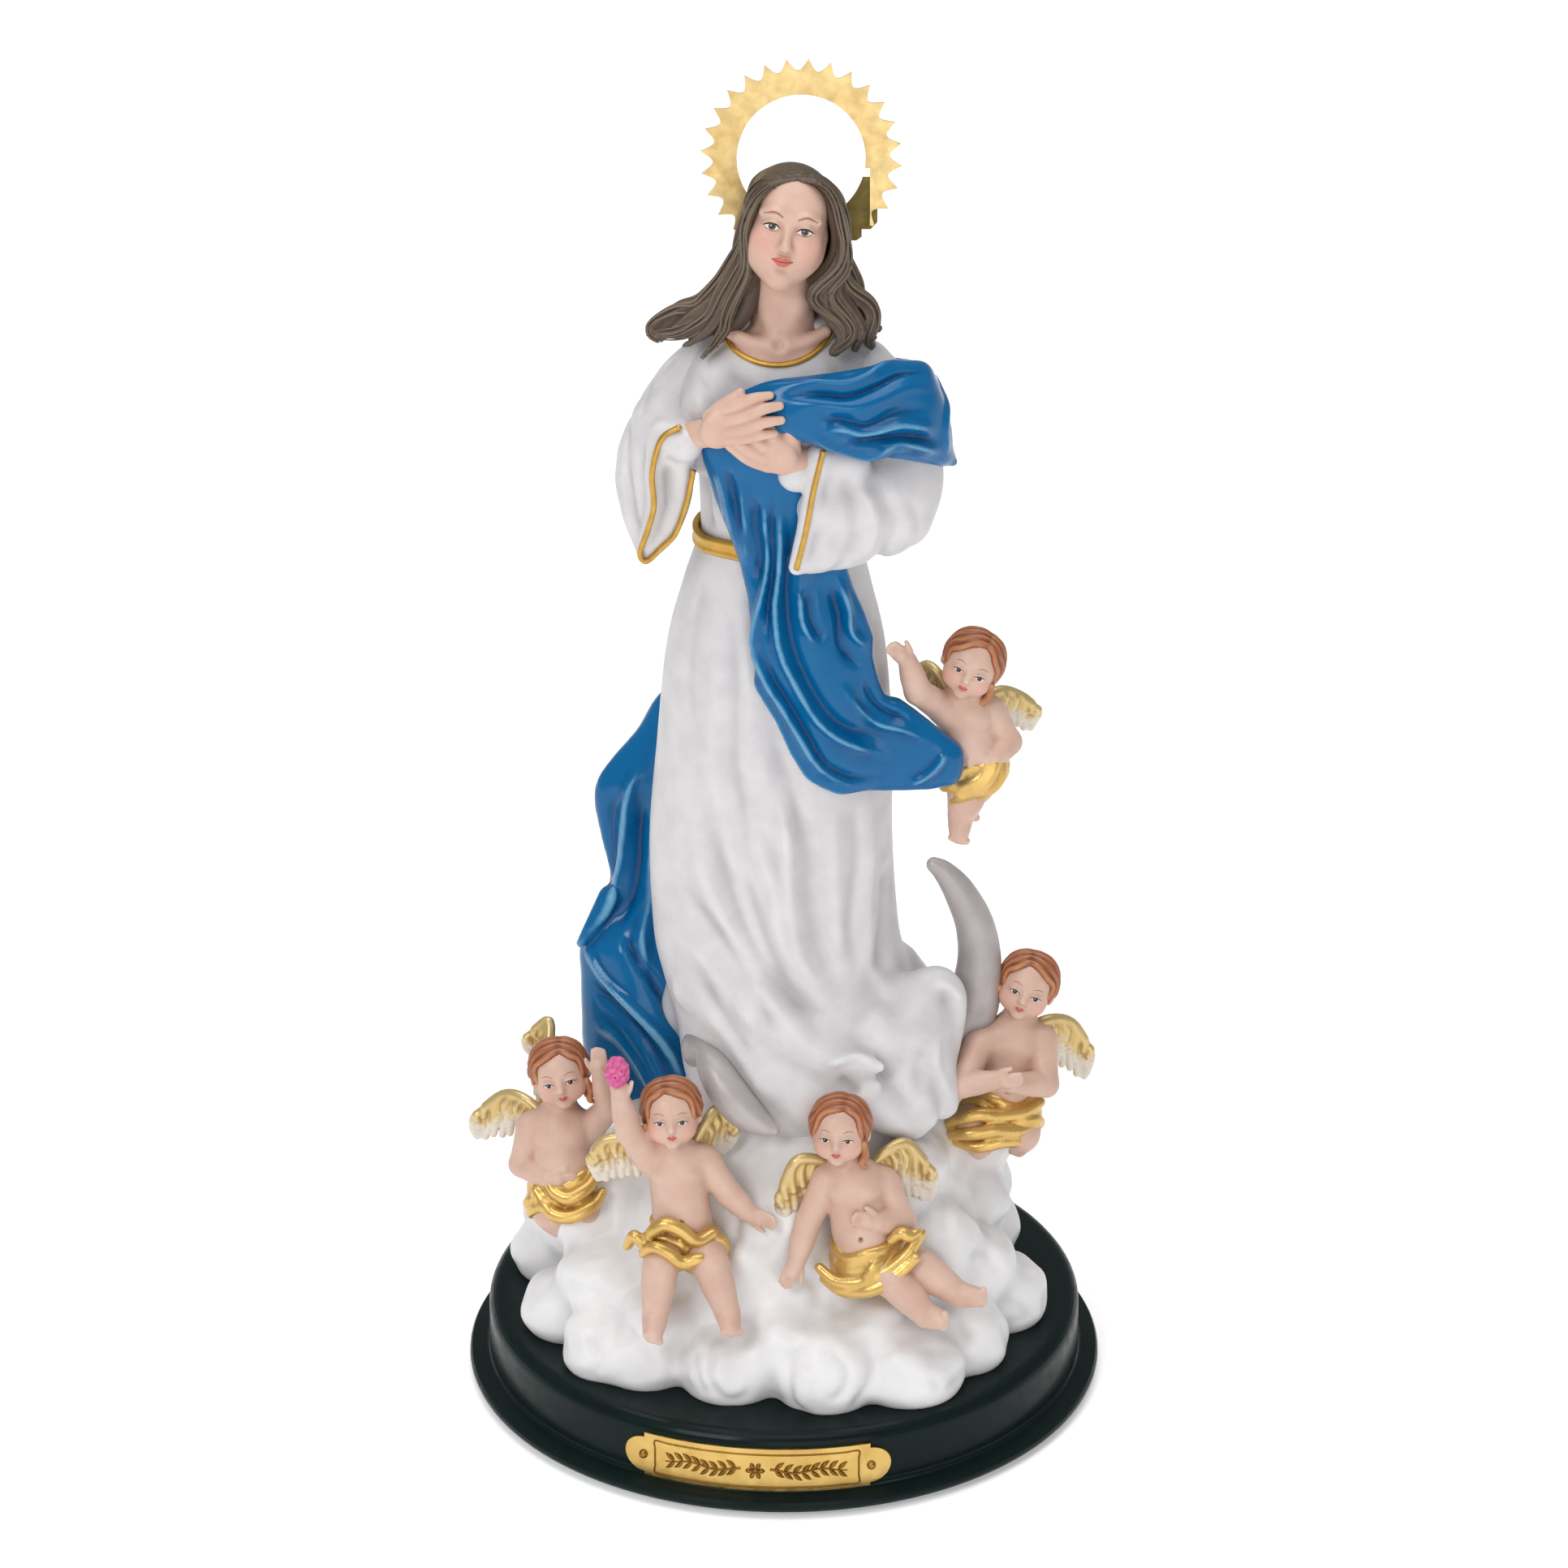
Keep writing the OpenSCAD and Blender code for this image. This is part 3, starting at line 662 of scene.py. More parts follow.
SOFTER, SHALLOWER = 1.2, 0.85  # how the drawn folds are spread and eased
GOWN_FOLDS = [  # valleys, then crests, as [(x, z) points, width, height]
    [[(-12, 194), (-10.5, 175), (-10.5, 154), (-7, 141), (-3, 131)], 1.7, -1.3],
    [[(-6, 178), (-2, 160), (1.5, 147), (5, 137), (6, 121), (8.5, 111), (13, 100)], 2.3, -2.4],
    [[(-17.5, 146), (-15, 135), (-12, 125), (-8, 115), (-3, 107), (6, 98), (9.5, 90)], 2.1, -2.2],
    [[(-24, 127), (-17, 119), (-10, 111), (-4.5, 101), (-2, 92)], 1.8, -1.8],
    [[(-20, 108), (-15, 100), (-10.5, 94), (-6, 88)], 1.7, -1.5],
    [[(-10.5, 136), (-7, 125), (-4.5, 117), (0, 107), (6, 100), (13, 98)], 1.6, -1.5],
    [[(22, 128), (22.5, 118), (21.5, 108), (17, 98)], 3.2, -2.2],
    [[(-16, 198), (-19, 184), (-20, 170), (-18.5, 160)], 1.6, -0.8],
    [[(14, 190), (17, 180), (19, 168)], 1.5, -0.9],
    [[(-8, 196), (-6.5, 184), (-6, 172)], 1.3, -0.9],
    [[(15, 148), (15.5, 132), (14, 116), (16, 104)], 1.6, -0.9],
    [[(-1, 158), (0.5, 140), (1, 124), (3, 112), (9, 102)], 1.5, 1.3],
    [[(-9, 150), (-6, 138), (-2, 126), (-1, 116), (4, 104)], 1.4, 1.2],
    [[(-14, 190), (-15, 170), (-15, 152), (-12, 138), (-9.5, 126)], 2.2, 1.1],
    [[(-20, 140), (-17, 128), (-12, 118), (-7, 107), (-2, 98)], 2.0, 1.4],
    [[(-22, 115), (-16, 108), (-9, 100), (-4, 92)], 2.0, 1.3],
    [[(10, 150), (10.5, 134), (11, 120), (12.5, 108)], 2.2, 1.3],
    [[(19, 146), (18.5, 130), (18, 116), (20, 104), (26, 96)], 2.0, 1.2],
    [[(-18, 100), (-12, 94), (-7, 86), (-3, 78)], 2.0, 1.2],
    [[(32, 101), (36, 99), (39, 95)], 0.8, 0.6],
    [[(34, 93), (32.6, 87), (34.4, 80), (37, 75)], 1.3, 0.9],
    [[(30, 91), (28.6, 85), (29.6, 78)], 1.6, -0.9],
    [[(8.5, 88.4), (14.5, 90), (20, 88.6)], 0.8, 1.0],
    [[(11.2, 86.4), (14, 84), (16.5, 81.8)], 1.3, -0.9],
]
BACK_FOLDS = [
    [[(x, z) for z in (195, 165, 135, 105, 82)], 2.4, h]
    for x, h in ((-18, 1.0), (-10, -1.6), (0, 1.2), (9, -1.6), (18, 1.0))
]


def make_gown():
    clay = Clay((-40, -42, 60), (52, 34, 206), CLOTH_CELL)
    clay.loft(GOWN, 0.5)
    # hem: gathered where it spreads over the moon and the cloud
    for points, radii in (
        (
            [(-20, -13, 99), (-11, -19, 95), (-2.5, -23, 86), (2.5, -26, 79), (8, -27, 73.5)],
            [4, 4.5, 4.5, 4, 3],
        ),
        ([(-4, -20, 100), (4, -22, 92), (12, -24, 87.5), (20.5, -27, 87.5)], [6, 6, 4.5, 1.3]),
        ([(0, -24, 84), (8, -27, 80), (15, -28, 79), (19.5, -27.5, 83)], [5, 4, 3, 1.4]),
        ([(12, -22, 84), (18, -24, 78), (24, -24.5, 74), (28, -23.5, 71)], [6, 5.6, 4.6, 3]),
        ([(22, -12, 96), (28, -10.5, 97), (33.5, -9.5, 99), (36.8, -10, 95.6),
          (36, -11.5, 88), (33, -13.5, 78)],
         [5, 4.4, 3.4, 2.8, 3.0, 3.4]),
        ([(30, -11, 94), (32, -11.5, 90), (31.5, -13, 84)], [4.6, 5, 5]),
        ([(20, -18, 91), (27, -18, 88), (32, -17, 81), (34, -18, 74)], [6, 5.5, 5, 4]),
        ([(24, -19, 84), (27.5, -22, 79), (30.6, -23.5, 73.4)], [4, 3.8, 2.8]),
        ([(-20, 4, 90), (-24, 6, 80), (-26, 8, 70)], [6, 5, 4]),
        ([(24, 6, 94), (28, 10, 82), (31, 12, 71)], [6, 8, 9]),
        ([(6, 10, 94), (8, 14, 82), (10, 17, 70)], [12, 13, 14]),
    ):
        clay.limb(points, radii, 2.2)
    clay.blob((28, -15, 87), (8, 7, 10), 3)
    eased = [[points, SOFTER * width, SHALLOWER * height] for points, width, height in GOWN_FOLDS]
    verts, faces = sculpt(clay, eased, smooth=3)
    return fold(verts, faces, BACK_FOLDS, toward=(0, -1, 0)), faces


def make_bodice():
    clay = Clay((-30, -24, 194), (30, 24, 254), SLEEVE_CELL)
    clay.loft(BODICE, 0.5)
    for side in (-1, 1):
        clay.limb([(0, 2, 243), (side * 11, 1.5, 242.5), (side * 18, 1, 236.5)], [7, 6.5, 6.5], 3)
    clay.blob((-7, -8.5, 229), (7, 6.5, 7.5), 4)
    clay.blob((8, -8.5, 229), (7, 6.5, 7.5), 4)
    clay.limb([(-13, -5, 240), (-16.5, -8, 232), (-15, -7.5, 223)], [6, 5.6, 5], 3)
    whole = surface_tree(*clay.mesh())
    clay.blob(NECK_HOLE[0], NECK_HOLE[1], 0.5, carve=True)
    lines = [
        [[(-19, 244), (-14, 236), (-9, 230)], 1.6, -0.8],
        [[(-21, 236), (-17, 228), (-14, 220)], 1.4, -0.8],
        [[(-17, 222), (-16, 212), (-15, 204)], 1.3, -0.9],
        [[(-12, 244), (-7, 239), (-3, 236)], 1.5, -0.6],
        [[(-10, 240), (-12, 228), (-14, 214), (-14, 204)], 1.6, 0.7],
    ]
    return sculpt(clay, lines) + (whole,)


NECK_HOLE = [(-1.8, -9, 254.6), (14.4, 10.5, 10)]  # centre and radii
EDGE_RADIUS = 0.62  # of the gold line round the neck and the sleeves


def neck_edge(tree):
    """The gold line round the neck: where the hole's outline meets the bodice."""
    centre, radii = NECK_HOLE
    arc = []
    for degrees in range(-8, 189, 7):
        a = math.radians(degrees)
        arc.append((centre[0] - radii[0] * math.cos(a), 0, centre[2] - radii[2] * math.sin(a)))
    return snap(tree, arc, lift=0.15)


BELT_CENTRE = (-1, 1, 201.6)
BELT_RADII = (17.0, 12.4)  # across and from front to back
BELT_PROFILE = [  # (up, out)
    (-1.9, 0), (-1.9, 1.1), (-1.3, 1.5), (-0.8, 1.2), (0.8, 1.2), (1.3, 1.5), (1.9, 1.1), (1.9, 0),
]


def make_belt():
    """A flat band with a raised cord along both edges."""
    sides = 120
    x, y, z = BELT_CENTRE
    verts = []
    for i in range(sides):
        a = TURN * i / sides
        rise = 0.35 * math.sin(5 * a)
        for up, out in BELT_PROFILE:
            across, deep = (radius + out for radius in BELT_RADII)
            verts.append((x + across * math.cos(a), y + deep * math.sin(a), z + up + rise))
    n = len(BELT_PROFILE)
    faces = [
        [i * n + k, ((i + 1) % sides) * n + k, ((i + 1) % sides) * n + (k + 1) % n, i * n + (k + 1) % n]
        for i in range(sides)
        for k in range(n)
    ]
    return np.array(verts), faces


def make_right_sleeve():
    """The viewer's left: a bell sleeve that hangs from the raised wrist, with a cuff inside."""
    clay = Clay((-40, -30, 196), (-8, 16, 252), SLEEVE_CELL)
    clay.limb(
        [(-15, 1.5, 241), (-21.4, 0.5, 235), (-27.2, -3, 225.4), (-28.4, -8, 218.6)],
        [6.2, 6.2, 6.4, 6.6],
        3,
    )
    clay.limb([(-25.5, -6, 229), (-24, -11, 229), (-22.5, -15, 229.5)], [6.5, 5.6, 4.8], 2.5)
    clay.limb([(-28, -7, 222), (-29.5, -10, 213), (-29.5, -13.5, 203.6)], [6.2, 5, 1.6], 3)
    clay.limb(
        [(-21.5, -14, 226), (-21.8, -14.5, 216), (-25, -15, 208), (-28.6, -15.5, 203.4)],
        [3, 2.4, 2.2, 1.2],
        2.5,
    )
    clay.limb(
        [(-25.5, -15, 232), (-27.3, -16, 224), (-27, -16.5, 216), (-29.4, -16, 206)], [2, 1.9, 1.8, 1.2], 2
    )
    clay.limb(
        [(-22.8, -20, 226), (-23.2, -20, 219), (-24.6, -19, 212), (-27.3, -18.5, 208)],
        [2.6, 3.0, 2.3, 1.0],
        0.8,
        carve=True,
    )
    clay.limb([(-25, -8, 230), (-23, -12.5, 229.5), (-20.8, -16.5, 229.8)], [4.6, 4.4, 4.0], 0.6)
    lines = [
        [[(-31, 236), (-33, 226), (-32, 214), (-30.5, 207)], 1.3, -0.8],
        [[(-22, 243), (-27, 238), (-31, 231)], 1.4, -0.7],
        [[(-27, 246), (-31, 238)], 1.2, 0.5],
        [[(-33.5, 224), (-32, 215), (-30.5, 208)], 1.2, -0.7],
    ]
    return sculpt(clay, lines)


def make_left_sleeve():
    """The viewer's right: a broad bell sleeve seen from its side."""
    clay = Clay((-4, -32, 190), (42, 18, 250), SLEEVE_CELL)
    clay.limb([(16.5, 1, 239), (22.5, -1, 231), (25.6, -5, 218), (23, -8, 210)], [6.6, 7.2, 8, 8.5], 3)
    clay.limb([(21.5, -8, 214), (14, -13, 214), (8, -15.5, 215)], [9.2, 7.5, 5.6], 3)
    clay.limb([(18, -10, 207.5), (11, -14.5, 205), (5.5, -17, 203.2)], [7, 5, 3], 3)
    clay.limb([(13, -14, 224), (7.5, -17, 226)], [5, 3.6], 3)
    clay.limb([(9, -15, 222), (8, -15.5, 212), (7, -16, 205)], [4, 4, 3.4], 1.6)
    clay.limb(
        [(7.6, -18.8, 228), (6, -19.6, 220), (4.4, -19.6, 211), (2.6, -19, 202.4)],
        [1.8, 1.9, 1.9, 1.7],
        1.6,
    )
    clay.limb([(10, -14, 222), (6, -16, 223), (2.6, -17.2, 223.4)], [4.6, 4.3, 4.1], 0.6)
    lines = [
        [[(12, 226), (15, 214), (13, 204), (9, 199)], 1.7, -0.9],
        [[(19, 222), (23, 212), (20, 202), (14, 197)], 1.9, -1.1],
        [[(26, 218), (28.5, 209), (26, 201)], 1.6, -0.7],
        [[(16, 222), (19, 212), (16, 202)], 1.6, 0.8],
    ]
    return sculpt(clay, lines)


def body_front_y(x, z):
    """How far forward gown and bodice come, or a little short of that beside them."""
    hit = BODY_TREE.ray_cast(Vector((x, -RAY_START, z)), Vector((0, 1, 0)))[0]
    return hit.y if hit else -8.0


SASH_SAMPLES = 34  # places down the sash
SASH_LEFT = [
    (-18, 232), (-17.2, 226), (-15.6, 218), (-12.8, 210.5), (-10.5, 203.5), (-8.6, 196.5), (-7.8, 191),
    (-7.8, 185), (-7.4, 179), (-5.6, 173), (-0.6, 165.8), (1.9, 159), (4.6, 153.6), (9.8, 149),
    (16.5, 147.2), (23, 147.4), (28.5, 148.2), (33.5, 148.8), (36, 151.5),
]
SASH_RIGHT = [
    (2, 238), (4, 224), (9, 212), (12.6, 202.7), (14.7, 195.2), (17.8, 188.5), (20, 182.9), (19.6, 178),
    (20.8, 171.5), (22.6, 168.6), (24.8, 169), (27.4, 166.4), (30.6, 162.4), (33.2, 158.6), (36, 155),
]
SASH_FOLDS = [  # [(x, z) points, width, height]
    [
        [
            (-3.6, 221), (-4.1, 214), (-3.1, 204.6), (-4.4, 195), (-6.1, 187.6), (-5.4, 180), (-1.5, 173),
            (3, 165), (6.5, 158), (13, 152), (22, 150),
        ],
        0.9,
        1.5,
    ],
    [[(-5.6, 219), (-6, 211), (-5, 203), (-6.3, 196)], 1.1, -1.1],
    [[(-4.2, 185), (-3, 178), (1, 171), (5.3, 163), (9, 156.5), (15, 152.5), (23, 151.8)], 1.3, -1.5],
    [
        [
            (-0.2, 221), (-1, 212), (-0.7, 202.7), (-1.9, 195), (-1, 184), (3.3, 174.3), (7.6, 166.7),
            (12.7, 162), (19.6, 157.5), (29, 155),
        ],
        0.95,
        1.6,
    ],
    [[(-2.2, 218), (-2.8, 209), (-2.4, 200), (-3.4, 193), (-2.8, 184)], 0.9, -1.3],
    [
        [(1.8, 214), (1.2, 204), (0.6, 195), (2, 184), (6.4, 174), (11, 167), (17, 162.5), (26, 159.5)],
        1.5,
        -1.7,
    ],
    [[(3.2, 197), (3.8, 189.5), (6.7, 183.8)], 0.8, 1.1],
    [[(5, 197), (5.8, 190), (8.4, 184.5)], 1.0, -1.0],
    [[(10.9, 199), (13.5, 191.4), (14.3, 185.7), (18.4, 181)], 0.9, 1.3],
    [[(9.2, 198), (11.5, 190), (12.4, 183), (16.5, 177)], 1.2, -1.4],
    [[(-14.6, 226), (-13, 219.5), (-11.8, 213), (-9.8, 205)], 0.8, 1.0],
    [[(-12.2, 226), (-10.8, 219), (-9.8, 213), (-8, 205)], 0.9, -0.9],
    [[(-9, 224), (-8.4, 215), (-8.2, 207), (-7.2, 200)], 1.1, 1.0],
    [[(12, 176), (15.5, 168.5), (20, 164.5), (26, 162.6), (32, 159)], 1.0, 1.4],
    [[(16.5, 176), (19, 169.5), (22.5, 166.4), (27, 164.8)], 0.9, -1.3],
    [[(-7.4, 182), (-5.8, 175.5), (-1, 167), (2, 160), (5.6, 154), (12, 149.6), (22, 148.4)], 0.8, 1.0],
    [[(20.5, 181), (19.9, 175), (21.6, 170), (24.6, 170)], 0.8, 1.1],
    [[(25.5, 149.6), (30, 151.6), (33, 154.6), (35, 158)], 0.8, 1.3],
]


def across_sash(share):
    """A line down the sash, this share of the way from its left edge to its right edge, lying on the body."""
    left, right = (curve_points(edge, SASH_SAMPLES) for edge in (SASH_LEFT, SASH_RIGHT))
    line = left + (right - left) * share
    return [(x, body_front_y(x, z), z) for x, z in line.tolist()]


def make_sash():
    clay = Clay((-24, -34, 142), (46, 4, 242), SLEEVE_CELL)
    count = 13
    for i in range(count):
        share = i / (count - 1)
        line = np.array(across_sash(0.12 + 0.76 * share))
        t = np.linspace(0, 1, len(line))
        lift = 1.1 + 1.4 * np.sin(math.pi * t) * (0.4 + 0.6 * math.sin(math.pi * share))
        line[:, 1] = np.minimum(line[:, 1], -11) - lift
        clay.limb(line[::2], [2.4] * len(line[::2]), 1.8, steps=1)
    return sculpt(clay, SASH_FOLDS, smooth=2)


MANTLE_TOP = [
    (-8.2, -15.8, 240.4), (-2.7, -17.4, 242.6), (5.7, -18, 243.6), (14.2, -16.6, 244.0),
    (21.5, -12.6, 243.6), (27.8, -8, 242.2), (29, -2, 239), (26, 7, 236), (14, 13, 235),
]
MANTLE_LOW = [
    (-3.4, -18.4, 237.6), (1.6, -19.4, 234.6), (8.4, -19.4, 232.6), (15.6, -18.6, 230.6),
    (22.6, -16, 229), (29, -10, 225.2), (33.4, -4.4, 221.4), (29, 8, 220), (15, 16, 222),
]
MANTLE_THICK = [1.1, 1.8, 2.2, 2.4, 2.6, 2.6, 2.0, 2.4, 2.2]


def make_shoulder_mantle():
    clay = Clay((-14, -30, 212), (44, 26, 256), SLEEVE_CELL)
    rows = 9
    for i in range(rows):
        share = i / (rows - 1)
        sag = 1.6 * math.sin(math.pi * share)
        line = []
        for top, low in zip(MANTLE_TOP, MANTLE_LOW):
            x, y, z = (a + (b - a) * share for a, b in zip(top, low))
            front = y < 0
            line.append((x + (0.9 * sag if x > 24 else 0), y - (sag if front else -sag), z))
        clay.limb(line, MANTLE_THICK, 1.6)
    clay.limb([(29.6, -8, 225), (32.8, -5, 222.4), (35.6, -3.4, 219.6)], [2.4, 2.0, 1.0], 1.6)
    lines = [
        [[(-6, 242.4), (2.4, 243.1), (9, 242.4), (16, 243.4), (22.6, 244.4), (29.5, 242.4)], 0.7, -1.3],
        [[(-7, 244), (2, 245.2), (9, 244.8), (16, 246), (23, 247), (29, 245)], 1.0, 1.0],
        [[(-4, 240.6), (3, 241), (10, 240), (16.5, 240.8), (23, 241.6), (30, 239.6)], 1.2, 0.9],
        [[(1, 238), (7.4, 237.6), (13, 235.6), (20, 237.4), (29, 236)], 1.5, -1.2],
        [[(2.4, 235), (7.4, 236), (12.5, 234.4), (19.3, 235), (24.3, 233.6), (31, 230.6)], 1.0, 1.4],
        [[(5.7, 231.6), (12.5, 232.2), (19, 232), (25, 230.4), (31.5, 227)], 1.2, -1.6],
        [[(9, 229.3), (15, 229), (20, 231), (26, 228), (32, 224.5)], 0.9, 1.1],
        [[(16, 227), (21, 228.4), (27, 226)], 0.9, -0.9],
        [[(-1, 236.6), (3, 232.6), (8, 230), (15, 228), (21, 228.6), (27, 225.6)], 0.8, 0.8],
        [[(30.5, 240), (32.4, 235.5), (31.6, 229.5), (33, 223)], 0.9, 0.9],
    ]
    return sculpt(clay, lines, toward=(-0.2, 1, 0), smooth=2)


def make_mantle_back():
    """Falls from the shoulders down the back, and swings out past the gown on the viewer's left."""
    clay = Clay((-54, -8, 52), (34, 34, 244), CLOTH_CELL)
    clay.loft(
        [
            [58, -28, 11, 12, 7], [70, -30, 12, 14, 9], [80, -28, 12, 16.5, 9.5],
            [89, -27, 12.5, 17.6, 9], [96, -27, 13, 17.6, 8.5], [101, -26, 14, 15.6, 8],
            [106, -24, 15, 14.4, 7.5], [113.4, -22, 16, 16.4, 7], [121.3, -21, 17, 19, 7],
            [129.2, -20, 17, 21.3, 7], [134.2, -19, 17.5, 21.6, 7], [139.1, -17, 18, 20.4, 7],
            [146, -13, 18, 19, 7], [152.8, -10, 18, 18.4, 7], [160, -6, 17, 17.6, 7],
            [175, -2.5, 16, 16.2, 7], [200, 1, 14, 14.2, 6], [222, 6, 13, 15, 6],
            [234, 7, 11.5, 12.5, 4.6], [241, 7, 10.5, 9, 3.4],
        ],
        0.5,
    )
    clay.limb([(-38, 13, 108), (-41.6, 11, 102), (-44.6, 9.4, 98.2)], [2.6, 2.0, 1.0], 1.2)
    clay.limb([(-34, 9, 96), (-30, 5, 84), (-25, 2, 72), (-22, 0, 62)], [5, 6, 6, 5], 4)
    lines = [
        [
            [(-29.5, 141), (-33.5, 134.3), (-34.8, 124.4), (-35.9, 114.5), (-38.5, 106.6), (-43, 100)],
            1.1,
            1.6,
        ],
        [[(-36.6, 135), (-37.8, 126), (-37.6, 117), (-38.2, 110)], 1.5, -1.3],
        [[(-30.4, 136), (-31.4, 126), (-32, 117), (-33.4, 109), (-37, 101)], 1.5, -1.7],
        [[(-28, 134), (-28.6, 122), (-29, 110), (-31, 100), (-29, 90)], 1.3, 1.2],
        [[(-44.3, 99), (-40, 92.7), (-32.9, 86.7), (-26, 79), (-21.5, 70)], 1.1, 1.7],
        [[(-43, 90), (-37, 86), (-31, 81), (-26, 74), (-23, 66)], 1.8, -1.7],
        [[(-35, 103), (-31.5, 96.7), (-26.5, 89), (-23, 80)], 1.2, -1.4],
        [[(-42, 80), (-36, 78), (-31, 72), (-28, 64)], 1.2, 1.2],
    ]
    verts, faces = sculpt(clay, lines, smooth=3)
    behind = [
        [[(x, z) for x, z in zip(line, (232, 205, 175, 145, 115, 88, 68))], width, height]
        for line, width, height in (
            ((-6, -8, -11, -19, -27, -32, -34), 2.2, -1.9), ((0, -2, -6, -12, -22, -26, -28), 2.4, 1.7),
            ((6, 3, -1, -8, -15, -20, -23), 2.2, -2.0), ((12, 8, 4, -3, -9, -14, -18), 2.4, 1.7),
            ((17, 12, 8, 2, -3, -9, -13), 2.0, -1.7), ((-10, -12, -16, -25, -33, -38, -40), 2.0, 1.4),
        )
    ]
    return fold(verts, faces, behind, toward=(0, -1, 0)), faces


gown_mesh = make_gown()
bodice_mesh = make_bodice()
BODY_TREE = surface_tree(*join([gown_mesh, bodice_mesh[:2]]))
for dress_piece in (
    ("gown_draped", gown_mesh, GOWN_WHITE, "gown_white", "gown"),
    ("bodice_cloth", bodice_mesh[:2], GOWN_WHITE, "gown_white", "bodice"),
    ("right_bell_sleeve", make_right_sleeve(), GOWN_WHITE, "gown_white", "right_sleeve"),
    ("left_bell_sleeve", make_left_sleeve(), GOWN_WHITE, "gown_white", "left_sleeve"),
    ("sash_folds", make_sash(), MANTLE_BLUE, "mantle_blue", "mantle_sash"),
    ("shoulder_folds", make_shoulder_mantle(), MANTLE_BLUE, "mantle_blue", "shoulder_mantle"),
    ("back_folds", make_mantle_back(), MANTLE_BLUE, "mantle_blue", "mantle_back"),
):
    make_sculpted(*dress_piece)
make_piece("belt_band", *make_belt(), GOLD, "gold_paint", ["belt"])
make_piece("neck_edge", *tube(neck_edge(bodice_mesh[2]), EDGE_RADIUS), GOLD, "gold_paint", ["neck_trim"])


# ---------------------------------------------------------------- heads

BEFORE_FACE = -14  # a plane in front of any face, from which its paint is laid on
PAINT_SUNK = 0.12  # how far the back of a painted patch lies under the skin


class Posed:
    """Adds forms to clay in a frame of its own: turned, scaled and moved."""

    def __init__(self, clay, centre, rotation, size=1.0):
        self.clay, self.centre, self.rotation, self.size = clay, np.array(centre, float), rotation, size

    def spot(self, points):
        return self.size * np.array(points, float) @ self.rotation.T.astype(float) + self.centre

    def blob(self, centre, radii, blend=0.8, carve=False):
        self.clay.blob(
            self.spot(centre), np.array(radii) * self.size, blend * self.size, self.rotation, carve
        )

    def limb(self, points, radii, blend=0.8, **settings):
        self.clay.limb(self.spot(points), np.array(radii) * self.size, blend * self.size, **settings)

    def both(self, points, radii, blend=0.8, **settings):
        """The same limb on the left and on the right."""
        for side in (-1, 1):
            self.limb([(side * x, y, z) for x, y, z in points], radii, blend, **settings)

    def pair(self, centre, radii, blend=0.8, carve=False):
        for side in (-1, 1):
            self.blob((side * centre[0], centre[1], centre[2]), radii, blend, carve)


def both_sides(tree, pose, flat, lift):
    """(x, z) points laid on a surface from the front: once just above it, and once sunk into it."""
    ahead = pose.rotation @ vec(0, 1, 0)
    spots = pose.spot([(x, BEFORE_FACE, z) for x, z in flat])
    return snap(tree, spots, ahead, lift), snap(tree, spots, ahead, -PAINT_SUNK)


def patch(tree, pose, outline, lift, rings=4):
    """A thin closed shape of paint on a surface. The outline is (x, z) points in the pose's own plane."""
    outline = np.array(outline, float)
    middle = outline.mean(0)
    flat = [middle] + [middle + (p - middle) * k / rings for k in range(1, rings + 1) for p in outline]
    top, low = both_sides(tree, pose, flat, lift)
    n, m = len(outline), len(flat)
    faces = []
    for k in range(n):
        j = (k + 1) % n
        faces.append((0, 1 + k, 1 + j))
        faces.append((m, m + 1 + j, m + 1 + k))
        for r in range(rings - 1):
            a, b = 1 + r * n, 1 + (r + 1) * n
            faces.append((a + k, b + k, b + j, a + j))
            faces.append((m + a + k, m + a + j, m + b + j, m + b + k))
        a = 1 + (rings - 1) * n
        faces.append((a + k, m + a + k, m + a + j, a + j))
    return np.concatenate([top, low]), faces


def oval(x, z, half_width, half_height, points=20):
    angles = [TURN * i / points for i in range(points)]
    return [(x + half_width * math.cos(a), z + half_height * math.sin(a)) for a in angles]


def almond(x, z, half_width, above, below, tilt, points=12):
    """An eye's outline: pointed at both corners, fuller above."""
    outline = []
    for way, height, power in ((-1, above, 0.8), (1, -below, 0.9)):
        for i in range(points):
            u = way * (half_width - 2 * half_width * i / points)
            outline.append((u, height * math.sin(math.pi * i / points) ** power))
    c, s = math.cos(math.radians(tilt)), math.sin(math.radians(tilt))
    return [(x + c * u - s * v, z + s * u + c * v) for u, v in outline]


def band(points, widths, samples=14):
    """The outline of a brush stroke through (x, z) points, as wide at each as its width."""
    rows = curve_points([list(p) + [w] for p, w in zip(points, widths)], samples)
    way = np.gradient(rows[:, :2], axis=0)
    way /= np.linalg.norm(way, axis=1, keepdims=True)
    side = np.stack([-way[:, 1], way[:, 0]], 1) * rows[:, 2:3] / 2
    return (rows[:, :2] + side).tolist() + (rows[:, :2] - side).tolist()[::-1]


def strip(tree, pose, points, widths, lift):
    """A brush stroke that lies on a surface, as a thin closed strip."""
    outline = np.array(band(points, widths))
    top, low = both_sides(tree, pose, outline, lift)
    n = len(outline)
    faces = []
    for i in range(n // 2 - 1):
        j = n - 1 - i
        faces.append((i, i + 1, j - 1, j))
        faces.append((n + i, n + j, n + j - 1, n + i + 1))
    for i in range(n):
        j = (i + 1) % n
        faces.append((i, n + i, n + j, j))
    return np.concatenate([top, low]), faces


def flat_paint(name, colour, roughness=0.3, coat=0.0):
    p = Paint(name, roughness, coat=coat)
    p.put(
        p.shader,
        "Base Color",
        p.mix(p.span(p.noise(0.6, 3.0), 0.3, 0.7), colour, tuple(0.8 * c for c in colour[:3]) + (1,)),
    )
    p.bump(p.noise(0.3, 2.0), 0.2, 0.04)
    return p.material


